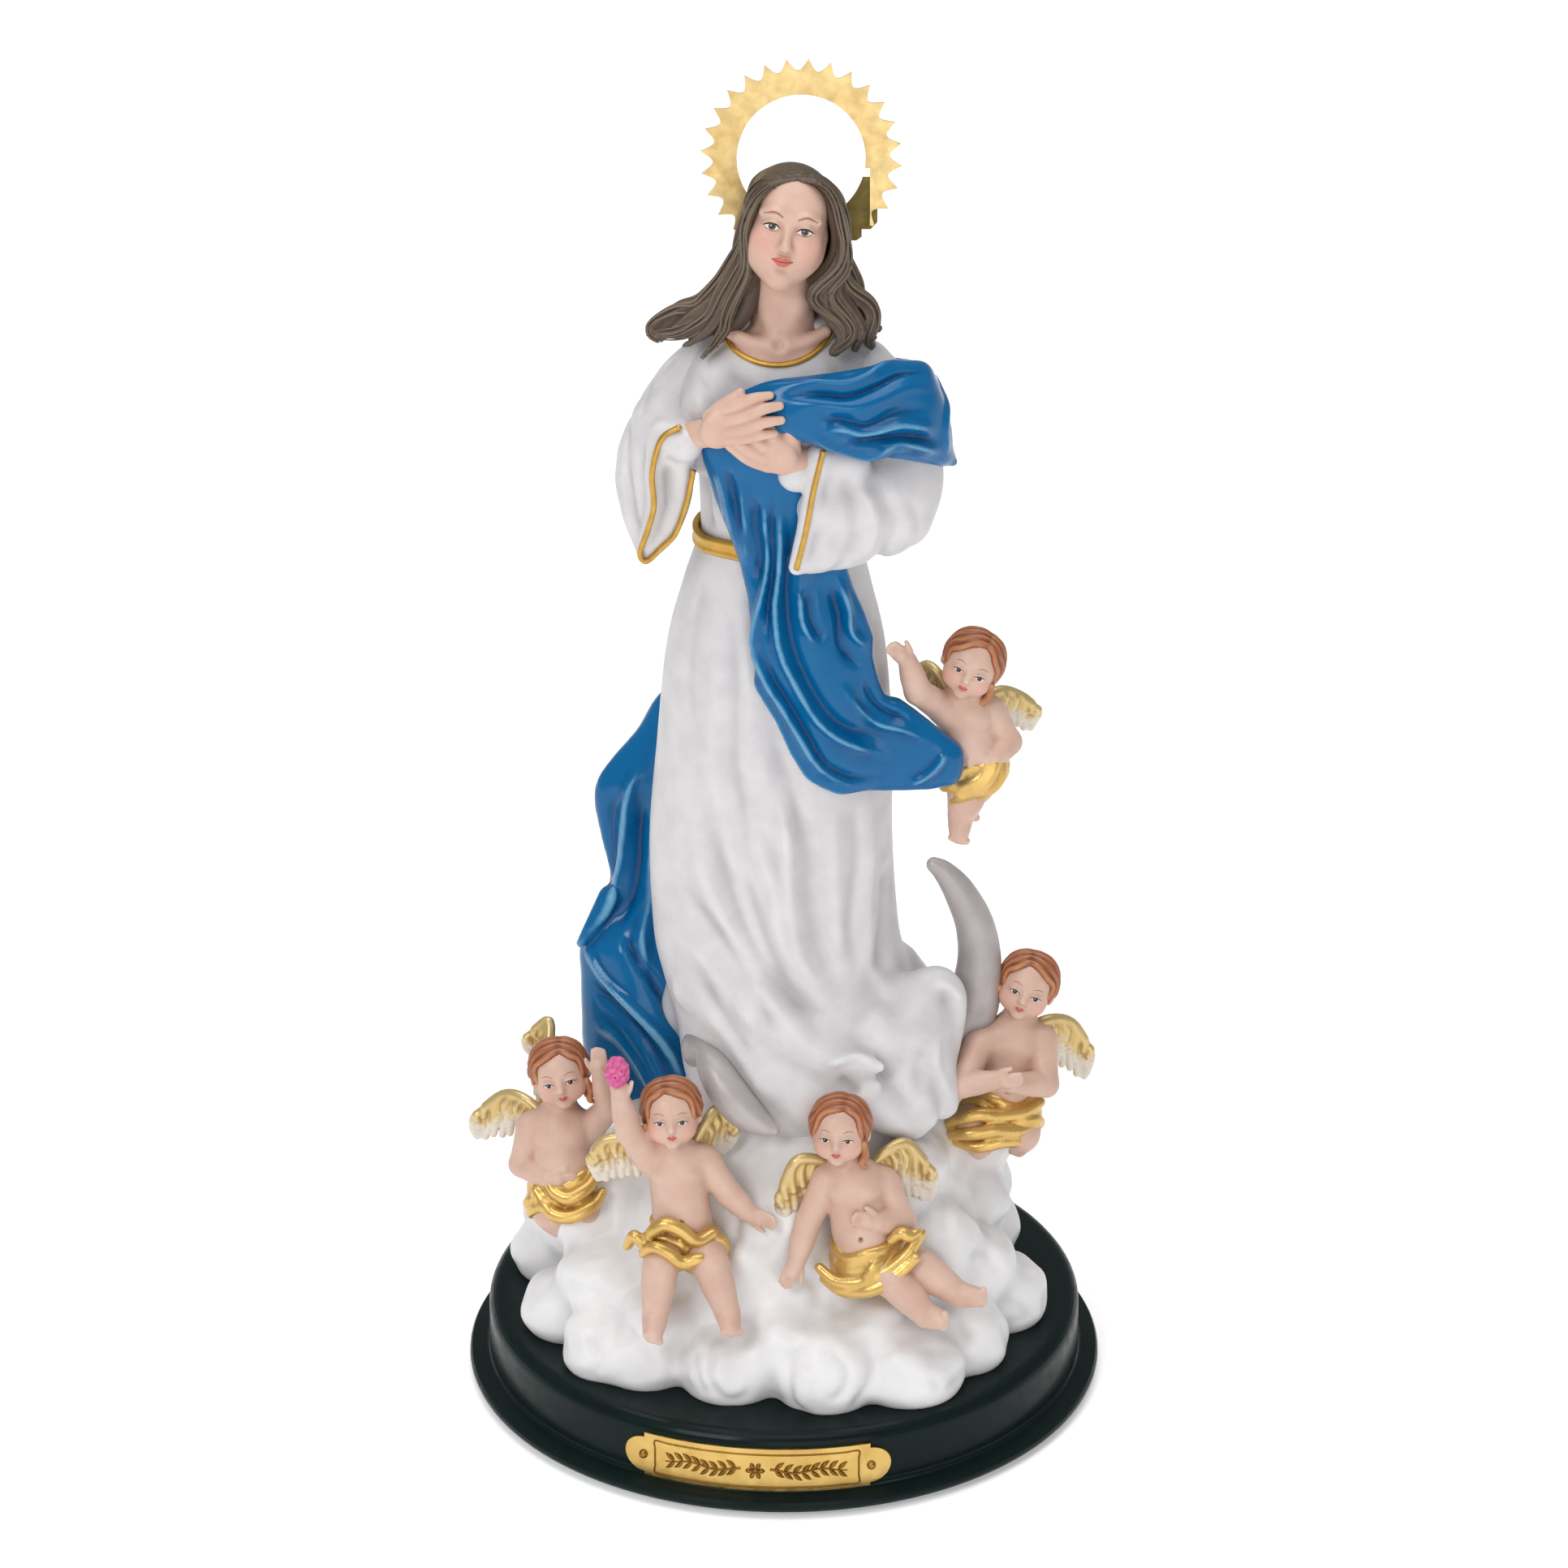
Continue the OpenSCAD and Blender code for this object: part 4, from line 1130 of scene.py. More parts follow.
FACE_PAINTS = {
    "white": flat_paint("eye_white", rgb(240, 238, 236), 0.2, 0.4),
    "iris": flat_paint("eye_brown", rgb(70, 48, 34), 0.15, 0.6),
    "dark": flat_paint("eye_line", rgb(24, 18, 16), 0.3),
    "glint": flat_paint("eye_glint", rgb(250, 250, 250), 0.2),
    "lips": flat_paint("lip_red", rgb(214, 112, 96), 0.35, 0.1),
    "mouth": flat_paint("mouth_line", rgb(150, 60, 50), 0.4),
    "brow": flat_paint("brow_brown", rgb(168, 124, 102), 0.5),
}


def make_face_paint(name, slot, parts):
    """One piece of all a face's paint. parts are (paint, (vertices, faces))."""
    verts, faces = join([shape for _, shape in parts])
    kinds = list(dict.fromkeys(kind for kind, _ in parts))
    piece = make_piece(name, verts, faces, FACE_PAINTS[kinds[0]], slot)
    for kind in kinds[1:]:
        piece.data.materials.append(FACE_PAINTS[kind])
    index = [kinds.index(kind) for kind, (_, part_faces) in parts for _ in part_faces]
    piece.data.polygons.foreach_set("material_index", index)


def mouth_paint(tree, pose, upper, lower, line):
    """Both lips and the line between them, each as ((x, z) points, widths)."""
    lips = [("lips", patch(tree, pose, band(*shape), 0.05)) for shape in (upper, lower)]
    return lips + [("mouth", strip(tree, pose, *line, 0.1))]


HEAD_CENTRE = (0.8, -0.8, 273)
HEAD_SIZE = 1.05
HEAD_TURN = turn(11, -10, 0)


def make_head():
    clay = Clay((-17, -18, 238), (17, 13, 290), FINE_CELL)
    face = Posed(clay, HEAD_CENTRE, HEAD_TURN, HEAD_SIZE)
    face.blob((0, 1.8, 2.8), (8.0, 8.8, 7.0), 2)
    face.blob((0, -3.2, -1.5), (7.2, 6.2, 9.2), 2.5)
    face.blob((0, -4.2, 5.2), (6.4, 4.6, 5.0), 2.5)
    face.both([(6.0, -1.0, -2.0), (5.2, -2.8, -6.0), (0, -6.2, -9.2)], [2.2, 2.5, 2.7], 2.5)
    face.blob((0, -4.4, -6.2), (5.6, 4.2, 4.2), 2)
    face.pair((3.8, -6.2, -2.9), (2.8, 2.5, 3.0), 2.5)
    face.blob((0, -7.8, -9.6), (2.1, 1.8, 1.7), 1.6)
    face.pair((3.35, -9.9, 1.1), (2.2, 1.5, 1.25), 1.3, carve=True)
    face.pair((3.25, -7.05, 0.7), (1.95, 1.9, 1.8), 0.3)
    face.both([(1.7, -8.5, 0.6), (3.3, -9.15, 1.65), (5.0, -7.9, 0.7)], [0.3, 0.42, 0.3], 0.4)
    face.both([(1.8, -8.4, 0.3), (3.3, -8.75, -0.45), (4.9, -7.8, 0.35)], [0.25, 0.34, 0.25], 0.5)
    face.both([(1.3, -8.8, 2.7), (3.3, -8.9, 3.5), (5.6, -7.3, 2.8)], [0.7, 0.8, 0.6], 1.6)
    face.limb([(0, -8.7, 2.6), (0, -9.6, 0.2), (0, -10.9, -2.3)], [0.85, 0.8, 1.0], 1.2)
    face.blob((0, -11.1, -2.7), (1.05, 1.0, 0.9), 0.6)
    face.pair((1.0, -10.1, -3.05), (0.7, 0.85, 0.65), 0.5)
    face.pair((0.5, -11.0, -3.75), (0.28, 0.45, 0.3), 0.3, carve=True)
    face.blob((0, -10.1, -4.4), (0.3, 0.5, 0.6), 0.5, carve=True)
    lip = [(-2.3, -8.7, -5.6), (-0.8, -9.6, -5.2), (0, -9.65, -5.35), (0.8, -9.6, -5.2), (2.3, -8.7, -5.6)]
    face.limb(lip, [0.3, 0.48, 0.45, 0.48, 0.3], 0.5)
    face.limb([(-2.0, -8.7, -5.85), (0, -9.6, -6.45), (2.0, -8.7, -5.85)], [0.3, 0.62, 0.3], 0.5)
    face.limb(
        [(-2.4, -9.2, -5.7), (0, -10.25, -5.9), (2.4, -9.2, -5.7)], [0.14, 0.17, 0.14], 0.25, carve=True
    )
    face.blob((0, -9.9, -7.5), (1.4, 0.6, 0.4), 1.4, carve=True)
    clay.limb([(-0.2, 1.2, 246), (0, 1.0, 256), (0.8, 1.4, 267)], [7.2, 6.0, 6.4], 2.5)
    clay.limb([(-3.6, -0.6, 262), (-3.2, -3.2, 255), (-1.8, -5.6, 249.5)], [1.5, 1.4, 1.1], 3)
    clay.limb([(4.6, -0.6, 262), (2.6, -3.2, 255), (-0.4, -5.6, 249.5)], [1.5, 1.4, 1.1], 3)
    clay.limb([(-11, -4.6, 249.6), (-7, -6.4, 248.6), (-2.6, -7.6, 247.8)], [1.3, 1.3, 1.0], 3)
    clay.limb([(8.6, -4.6, 250), (5, -6.4, 248.8), (0.4, -7.6, 247.8)], [1.3, 1.3, 1.0], 3)
    clay.blob((-1.2, -0.2, 243), (14.5, 9.4, 6.8), 2.5)
    clay.blob((-1.0, -9.2, 249), (0.9, 1.2, 1.1), 1.6, carve=True)
    return sculpt(clay, smooth=1) + (face,)


def blush(verts, pose, spots, size):
    """How rosy each vertex is: near a cheek, a nose tip or a knuckle."""
    warm = np.zeros(len(verts))
    for spot in spots:
        far = np.linalg.norm(verts - pose.spot([spot])[0], axis=1)
        warm = np.maximum(warm, np.exp(-((far / size) ** 2)))
    return warm


def make_main_head():
    verts, faces, pose = make_head()
    marks = relief(verts, faces)
    marks["blush"] = blush(verts, pose, [(-4.6, -8, -3), (4.6, -8, -3)], 3.0)
    make_piece("head_and_neck", verts, faces, SKIN, "skin", ["head"], marks=marks)
    tree = surface_tree(verts, faces)
    parts = []
    for side in (-1, 1):
        x = side * 3.3
        parts += [
            ("white", patch(tree, pose, almond(x, 0.55, 1.62, 0.84, 0.58, side * 3), 0.05)),
            ("iris", patch(tree, pose, oval(x, 0.7, 0.74, 0.72), 0.10)),
            ("dark", patch(tree, pose, oval(x, 0.7, 0.36, 0.36), 0.14)),
            ("glint", patch(tree, pose, oval(x - 0.22, 0.95, 0.13, 0.13, 10), 0.18)),
        ]
        lash = [(side * 1.6, 0.45), (x - side * 0.65, 1.3), (x + side * 0.55, 1.34), (side * 5.1, 0.6)]
        for kind, line, widths, lift in (
            ("dark", lash, [0.1, 0.28, 0.34, 0.14], 0.1),
            ("brow", [(side * 1.9, 0.1), (x, -0.2), (side * 4.8, 0.25)], [0.06, 0.12, 0.08], 0.1),
            ("brow", [(side * 1.5, 3.0), (x, 3.75), (side * 5.5, 2.9)], [0.25, 0.42, 0.12], 0.08),
        ):
            parts.append((kind, strip(tree, pose, line, widths, lift)))
    parts += mouth_paint(
        tree, pose,
        (
            [(-2.1, -5.65), (-0.8, -5.35), (0, -5.48), (0.8, -5.35), (2.1, -5.65)],
            [0.1, 0.75, 0.55, 0.75, 0.1],
        ),
        ([(-1.9, -5.85), (0, -6.35), (1.9, -5.85)], [0.12, 0.95, 0.12]),
        ([(-2.2, -5.68), (0, -5.86), (2.2, -5.68)], [0.06, 0.16, 0.06]),
    )
    make_face_paint("face_paint", "skin", parts)


LOCK_SAMPLES = 34  # places down a lock of hair
RIGHT_LOCKS = [  # from the parting down to the viewer's left, front lock first: (points, radii)
    (
        [(2.6, -4.8, 284.2), (-2.5, -6, 283.7), (-5.1, -6.6, 281.2), (-6.7, -6.8, 277.2), (-7.8, -6.4, 272.4),
         (-8.1, -6, 266.8), (-8.2, -5.8, 262.2), (-9.8, -6.2, 256.8), (-12.2, -7.2, 252.8),
         (-15, -8.6, 249.8), (-16.6, -9.4, 246)],
        [0.9, 1.1, 1.2, 1.3, 1.4, 1.6, 1.8, 1.9, 1.7, 1.3, 0.45],
    ),
    (
        [(2.4, -3.2, 284.0), (-3.0, -4, 282.8), (-5.8, -4.2, 279), (-7.0, -3.8, 272.5), (-9.4, -3.4, 265.1),
         (-11, -3.8, 259.6), (-14.8, -5.4, 254.6), (-20, -6.2, 251), (-24.5, -5.4, 250)],
        [1.3, 1.8, 1.9, 1.9, 2.1, 2.3, 2.4, 2.1, 1.3],
    ),
    (
        [(2.5, -0.8, 283.4), (-3.2, -1.2, 281.8), (-6.2, -1, 277.9), (-6.9, -0.5, 271.5), (-9.6, -0.8, 265.1),
         (-12, -2, 260.1), (-17, -3, 256), (-23, -3.2, 253.8), (-26, -3.8, 251), (-24.6, -5, 248.8)],
        [1.6, 2.1, 2.2, 2.2, 2.2, 2.3, 2.3, 2.1, 1.8, 1.2],
    ),
    (
        [(2.5, 2, 282.8), (-3.2, 2.6, 281), (-5.8, 4, 275.6), (-7.2, 4.4, 268.8), (-10.5, 3, 259.6),
         (-15, 1.6, 253), (-20, 0.6, 250)],
        [1.8, 2.2, 2.3, 2.4, 2.4, 2.2, 1.4],
    ),
    (
        [(2.5, 5.6, 280.8), (-2.6, 6.6, 278.6), (-5.4, 7.6, 272.6), (-7.4, 7.4, 265.1), (-9, 7, 256.9),
         (-11.5, 6.5, 249), (-12.5, 6.5, 244)],
        [2, 2.4, 2.4, 2.4, 2.5, 2.3, 1.4],
    ),
    (
        [
            (2.4, 8, 278.6), (-1.2, 9, 275.2), (-3.6, 9.2, 268.8), (-4.4, 9, 259.6), (-5.4, 9, 250),
            (-6, 9.6, 242),
        ],
        [2, 2.4, 2.5, 2.5, 2.4, 1.4],
    ),
]
LEFT_LOCKS = [  # down to the viewer's right
    (
        [(3.6, -4.8, 284.2), (6.4, -5.4, 284), (9.1, -6, 282.2), (11, -6.4, 278.8), (11.7, -6.2, 274.6),
         (11.5, -6.2, 270.4), (10.3, -6.2, 265.4), (7.9, -6.4, 261.6), (6.9, -6.8, 259),
         (7.8, -7, 255.6), (10, -8, 252.2), (12.2, -8.6, 249)],
        [0.9, 1.0, 1.1, 1.2, 1.3, 1.4, 1.6, 1.8, 1.9, 1.9, 1.7, 1.2],
    ),
    (
        [(3.6, -3.2, 284.0), (8.4, -3.8, 282), (11.2, -3.8, 276.6), (11.9, -3.6, 269.7), (11.8, -3.8, 263.7),
         (10, -4.6, 259.2), (11, -6, 254.5), (12.4, -7.8, 250), (12.2, -8.6, 247.6)],
        [1.3, 1.7, 1.8, 1.8, 2.0, 2.1, 2.0, 1.9, 1.5],
    ),
    (
        [(3.5, -0.8, 283.4), (8.6, -1.2, 280.6), (11.2, -0.5, 276), (11.6, 0, 269.7), (11.8, -0.8, 263.3),
         (13.2, -2.2, 259.1), (16.2, -3.2, 255), (18.6, -3.8, 250.6), (19.4, -4, 246.6)],
        [1.6, 2.0, 2.1, 2.1, 2.2, 2.3, 2.2, 2.0, 1.2],
    ),
    (
        [(3.4, 2, 282.8), (8.2, 2.8, 279.8), (10.6, 4, 274.2), (11.4, 3.8, 266.9), (12.6, 2.4, 259.6),
         (16, 1, 254), (18.8, 0, 248.6)],
        [1.8, 2.2, 2.3, 2.3, 2.4, 2.2, 1.4],
    ),
    (
        [(3.1, 5.6, 280.8), (7.2, 6.8, 277.8), (9.2, 7.6, 271), (10, 7.2, 263.3), (11.2, 6.8, 255.6),
         (12.6, 6.4, 248), (13, 6.4, 243)],
        [2, 2.4, 2.4, 2.4, 2.5, 2.3, 1.4],
    ),
    (
        [(3, 8, 278.6), (6, 9, 274.4), (7.2, 9.2, 266.9), (7.6, 9, 257.8), (7.8, 9, 249), (7.6, 9.4, 242)],
        [2, 2.4, 2.5, 2.5, 2.4, 1.4],
    ),
]
BACK_LOCK = (
    [(2.5, 9.2, 277.4), (2, 9.6, 270.6), (1.5, 9.2, 261.5), (1.1, 9.2, 251), (0.9, 9.8, 241)],
    [2.4, 2.6, 2.6, 2.5, 1.5],
)


def strands_over(row, seed):
    """Fine raised strands that run along one lock of hair, on its outer side."""
    tubes = []
    away = row[:, :3] - np.column_stack([np.full(len(row), 2.0), np.full(len(row), 2.0), row[:, 2]])
    along = np.gradient(row[:, :3], axis=0)
    along /= np.linalg.norm(along, axis=1)[:, None]
    out = away - along * np.sum(away * along, axis=1)[:, None]
    out /= np.linalg.norm(out, axis=1)[:, None]
    side = np.cross(along, out)
    t = np.linspace(0, 1, len(row))
    for k, start in enumerate((-1.1, -0.62, -0.15, 0.35, 0.85)):
        swing = start + 0.28 * np.sin(5 * t + 1.7 * k + seed)
        reach = row[:, 3] * 0.82 + 0.05
        path = row[:, :3] + reach[:, None] * (np.cos(swing)[:, None] * out + np.sin(swing)[:, None] * side)
        tubes.append(tube(path[3 + k % 3:], [0.06, 0.26, 0.34, 0.36, 0.32, 0.1], 6, 60))
    return tubes


def make_hair():
    clay = Clay((-32, -15, 236), (26, 17, 291), BODY_CELL)
    cap = Posed(clay, HEAD_CENTRE, HEAD_TURN, HEAD_SIZE)
    cap.blob((0, 2.4, 3.0), (8.7, 9.6, 8.6), 1)
    clay.limb([(1.2, 4.6, 266), (0.9, 5.6, 257), (0.6, 6.4, 246)], [7.2, 5.4, 5.0], 2)
    cap.blob((0.1, -11.4, -1.8), (8.0, 9.4, 11.6), 0.8, carve=True)
    clay.limb(
        [(-7, -2.2, 264), (-7.4, -2.8, 258), (-9.6, -3.4, 252.8), (-13, -4, 250)], [2.0, 2.4, 2.4, 1.8], 1
    )
    strands = []
    for side in (RIGHT_LOCKS, LEFT_LOCKS):
        locks = [np.column_stack(lock) for lock in side + [BACK_LOCK]]
        rows = [curve_points(lock, LOCK_SAMPLES) for lock in locks]
        for k, row in enumerate(rows):
            t = np.linspace(0, 1, len(row))
            wave = (0.15 + 1.7 * t**1.6) * np.sin(16 * t + 1.1 * k)
            row[:, 0] += wave
            row[:, 1] += 0.5 * wave
            clay.limb(row[:, :3], row[:, 3] * 0.9, 0.45, steps=1, ridges=6, ridge_depth=0.5)
            strands += strands_over(row, k)
            if k == 0:
                inward = -1.0 if side is LEFT_LOCKS else 1.0
                clay.limb(row[3:22, :3] + (0.9 * inward, 1.9, 0), row[3:22, 3], 0.5, steps=1)
            if k + 1 < len(rows):
                between = 0.5 * (row + rows[k + 1])
                clay.limb(between[:, :3], between[:, 3] * 0.82, 0.5, steps=1, ridges=6, ridge_depth=0.4)
    for k in range(9):
        around = math.radians(-72 + 18 * k)
        path = []
        for u in np.linspace(0.35, 1.55, 8):
            spread = around + 0.05 * math.sin(5 * u + k)
            out = math.sin(u)
            path.append(
                (8.3 * math.sin(spread) * out, 2.6 + 9.2 * math.cos(spread) * out, 3.0 + 7.4 * math.cos(u))
            )
        cap.limb(path, [0.4, 0.6, 0.8, 1.0, 1.1, 1.2, 1.2, 1.2], 0.3, steps=2)
    cap.limb(
        [(0.3, -9.5, 8), (0.4, -5, 12.0), (0.4, 2, 13.2), (0.3, 8, 11.2)],
        [0.5, 0.55, 0.55, 0.4],
        0.5,
        carve=True,
    )
    return sculpt(clay, smooth=1), join(strands)


def make_hand(low, high, wrist, palm_place, palm_turn, palm_radii, fingers):
    """One of the hands crossed on the breast. wrist and each finger are (points, radii)."""
    clay = Clay(low, high, FINE_CELL)
    clay.limb(*wrist, 1.5)
    Posed(clay, palm_place, turn(*palm_turn)).blob((0, 0, 0), palm_radii, 1.5)
    for points, radii in fingers:
        clay.limb(points, radii, 0.45)
    return sculpt(clay, smooth=1)


right_hand = make_hand(
    (-27, -28, 224), (2, -10, 247),
    ([(-23, -13, 229.6), (-19, -16, 231.4), (-14.5, -18.8, 233.6)], [3.2, 3.0, 3.1]),
    (-12.2, -19.6, 235.2), (-28, 0, 18), (5.4, 2.2, 4.6),
    [
        (
            [(-13.5, -19.2, 238.4), (-9.6, -21.2, 240.8), (-6.2, -22.2, 242.6), (-2.9, -21.6, 243)],
            [1.6, 1.45, 1.2, 0.9],
        ),
        (
            [(-12.5, -20.2, 236.6), (-8.3, -22.2, 238.6), (-4.4, -23.2, 240.6), (-0.9, -22.4, 241)],
            [1.6, 1.45, 1.25, 0.95],
        ),
        (
            [(-12, -20.4, 234.4), (-7.8, -22.5, 236), (-3.9, -23.6, 237.8), (-0.6, -23, 238)],
            [1.6, 1.45, 1.22, 0.95],
        ),
        (
            [(-12, -20.2, 232.6), (-8, -22.2, 233.6), (-4.8, -23.4, 234.8), (-2, -23, 235)],
            [1.5, 1.3, 1.1, 0.85],
        ),
        ([(-15.5, -18, 236.5), (-12.4, -19.6, 240.2), (-9, -20.4, 243.2)], [1.6, 1.35, 1.0]),
    ],
)
left_hand = make_hand(  # under the other
    (-16, -27, 216), (12, -9, 243),
    ([(8, -14, 224), (4, -17, 225.4), (0, -18.8, 227.6)], [3.2, 3.1, 3.2]),
    (-2.6, -19.8, 229.8), (38, 0, -14), (5.6, 2.3, 4.8),
    [
        ([(-3.4, -20, 226.4), (-7.4, -20.8, 228.2), (-11.4, -20.4, 231)], [1.6, 1.35, 1.0]),
        ([(-4.4, -20.6, 228.6), (-8, -21, 231), (-12, -20.4, 234)], [1.6, 1.4, 1.1]),
        ([(-4.4, -20.8, 231.4), (-7, -21, 234), (-9, -20.6, 237)], [1.6, 1.4, 1.1]),
        ([(-2.4, -20.6, 233.4), (-4, -20.8, 236.4), (-5, -20.6, 239)], [1.6, 1.4, 1.1]),
        ([(1.8, -18.6, 229), (1.4, -20.2, 234), (-0.4, -20.8, 238.4)], [1.9, 1.6, 1.1]),
    ],
)
make_main_head()
hair_mesh, strand_mesh = make_hair()
make_piece("hair_strands", *strand_mesh, HAIR_HIGHLIGHT, "hair_brown")
make_sculpted("hair_locks", hair_mesh, HAIR_BROWN, "hair_brown", "hair")
make_sculpted("right_hand_modelled", right_hand, SKIN, "skin", "right_hand")
make_sculpted("left_hand_modelled", left_hand, SKIN, "skin", "left_hand")


# ---------------------------------------------------------------- sleeve edges

RIGHT_EDGE = [
    (-21.5, -18.5, 234.6), (-25.6, -18.5, 231.5), (-27.5, -19, 224), (-27.2, -19, 216.5),
    (-28.6, -18.5, 210.5), (-30.2, -17.6, 205), (-28.8, -17.2, 203), (-25.4, -17.6, 206.6),
    (-22.8, -17.8, 209.6), (-20.4, -17.6, 216.5), (-18.9, -17.2, 224),
]
LEFT_EDGE = [(8.2, -20.6, 230), (6.2, -21.6, 221.5), (4.6, -21.6, 212), (2.6, -20.8, 202.8)]

sleeve_edges = join([tube(RIGHT_EDGE, EDGE_RADIUS, samples=110), tube(LEFT_EDGE, EDGE_RADIUS)])
make_piece("sleeve_edges", *sleeve_edges, GOLD, "gold_paint", ["sleeve_trims"])


# ---------------------------------------------------------------- cloud and crescent

CLOUD_PUFFS = [  # (x, y, z), radius across, half height
    ((-50, 8, 22), 10, 10), ((-47, -17, 22), 10.5, 9), ((-39, -34, 22), 9.5, 9), ((-30, -37, 21), 10, 9),
    ((-11.5, -42, 22), 11.5, 10), ((9, -45.5, 23), 12, 11.5), ((27, -42.5, 22), 12.5, 10),
    ((39, -31, 22), 10, 9), ((47, -12, 22), 11, 10), ((41, 17, 23), 11.5, 11), ((39, 37, 24), 12, 12),
    ((22, 46, 22), 11, 10), ((3, 49, 23), 11.5, 11), ((-17, 46, 22), 11, 10), ((-35, 38, 23), 12, 11),
    ((-47, 26, 22), 11, 10), ((-38, -22, 33), 12, 8), ((-27, -36, 30), 8, 7), ((-1, -44, 29), 7, 7),
    ((19, -40, 31), 8, 6), ((-8, -33, 44), 9, 8), ((0, -30, 52), 10, 9), ((32, -24, 42), 11, 10),
    ((42, -18, 33), 9, 9), ((39, 0, 40), 11, 11), ((42, 4, 52), 8, 7), ((38, 16, 48), 11, 11),
    ((30, 30, 40), 13, 12), ((12, 38, 44), 13, 12), ((-8, 38, 40), 13, 12), ((-26, 28, 42), 12, 12),
    ((-40, 16, 36), 12, 11), ((-38, -2, 46), 10, 9), ((-44, 4, 34), 12, 10), ((16, 26, 60), 13, 10),
    ((-4, 26, 58), 12, 10), ((28, 10, 60), 12, 11), ((24, -20, 58), 11, 10), ((-24, -10, 56), 11, 10),
    ((-28, 10, 56), 10, 9), ((8, -25, 62), 11, 9), ((-44, -12, 42), 8, 7),
]
CLOUD_SWIRLS = [  # grooves and lips that wind over the puffs: [(x, z) points, width, height]
    [[(-2, 30), (-8, 34), (-14, 32), (-17, 26), (-13, 20), (-8, 21), (-8, 26)], 1.1, -1.1],
    [[(-20, 30), (-19, 24), (-16, 19)], 1.0, -0.9],
    [[(3, 34), (1, 28), (2, 20), (6, 17)], 1.1, -1.0],
    [[(20, 30), (18, 24), (14, 18)], 1.1, -1.0],
    [[(22, 34), (30, 33), (37, 30), (42, 24)], 1.1, -1.0],
    [[(26, 24), (32, 25), (34, 21)], 0.9, -0.7],
    [[(-36, 32), (-30, 28), (-27, 22)], 1.0, -0.9],
    [[(-44, 30), (-40, 25), (-40, 20)], 1.0, -0.9],
    [[(-50, 34), (-44, 36), (-38, 34)], 1.2, -0.8],
    [[(-3, 42), (2, 44), (7, 40), (6, 34)], 1.1, -0.9],
    [[(-6, 60), (-2, 54), (-4, 48)], 1.2, -1.0],
    [[(28, 60), (34, 54), (36, 46)], 1.2, -1.0],
    [[(38, 44), (44, 40), (48, 32)], 1.1, -1.0],
    [[(30, 48), (36, 44), (40, 38)], 1.0, 0.8],
    [[(46, 28), (52, 24), (54, 20)], 1.0, -0.8],
    [[(-12, 62), (-10, 54), (-13, 46)], 1.2, -0.9],
    [[(6, 29), (10, 32), (14, 28), (12, 23), (8, 23)], 0.9, -0.8],
]


CLOUD_FOOT = 17.9  # the cloud is cut off flat here, on the plinth
LUMPS_FROM = 18.2  # its lumps fade in above this


def make_cloud():
    clay = Clay((-64, -62, 14), (64, 64, 80), CLOTH_CELL)
    clay.loft(
        [
            [14, 0, 0, 47, 47], [27, 0, 0, 47, 46], [40, 1, -1, 43, 40], [54, 3, -1, 38, 33],
            [64, 4, -2, 32, 28], [74, 4, -1, 24, 22],
        ],
        1,
    )
    for centre, across, tall in CLOUD_PUFFS:
        clay.blob(centre, (across, across, tall), 3.2)
    clay.cut_below(CLOUD_FOOT)
    swirls = [[points, 1.4 * width, 0.8 * height] for points, width, height in CLOUD_SWIRLS]
    verts, faces = sculpt(clay, swirls, smooth=3)
    lump = 0.5 * noise(verts, 11.0, 4) + 0.08 * noise(verts, 5.0, 5)
    moved = verts + normals_of(verts, faces) * (lump * np.clip((verts[:, 2] - LUMPS_FROM) / 3, 0, 1))[:, None]
    return moved, faces


CRESCENT = [
    [32.4, 2, 121.5, 1.7], [34.8, 2, 119.5, 2.5], [38.2, 2, 114.5, 3.5], [41.6, 2, 106, 4.3],
    [42.3, 1, 96, 5.0], [39, 0, 84, 6], [24, 0, 75, 6.5], [4, 0, 72, 7], [-12, -3, 77, 6.8],
    [-17.8, -12, 84, 4.6], [-17, -19, 86.6, 2.6], [-15.2, -23.5, 85.4, 3.6], [-12.4, -26.5, 81.6, 4.2],
    [-8.6, -29, 77.6, 3.9], [-4.6, -31, 75.4, 2.4], [-2, -32, 74.6, 1.2],
]


def make_crescent():
    clay = Clay((-28, -40, 60), (52, 14, 128), SLEEVE_CELL)
    rows = np.array(CRESCENT)
    clay.limb(rows[:, :3], rows[:, 3], 0.5, steps=8)
    return sculpt(clay, smooth=2)


make_sculpted("cloud_bank", make_cloud(), CLOUD_WHITE, "cloud_white", "cloud", 0.9)
make_sculpted("crescent", make_crescent(), MOON_SILVER, "moon_silver", "crescent_moon")


# ---------------------------------------------------------------- cherubs

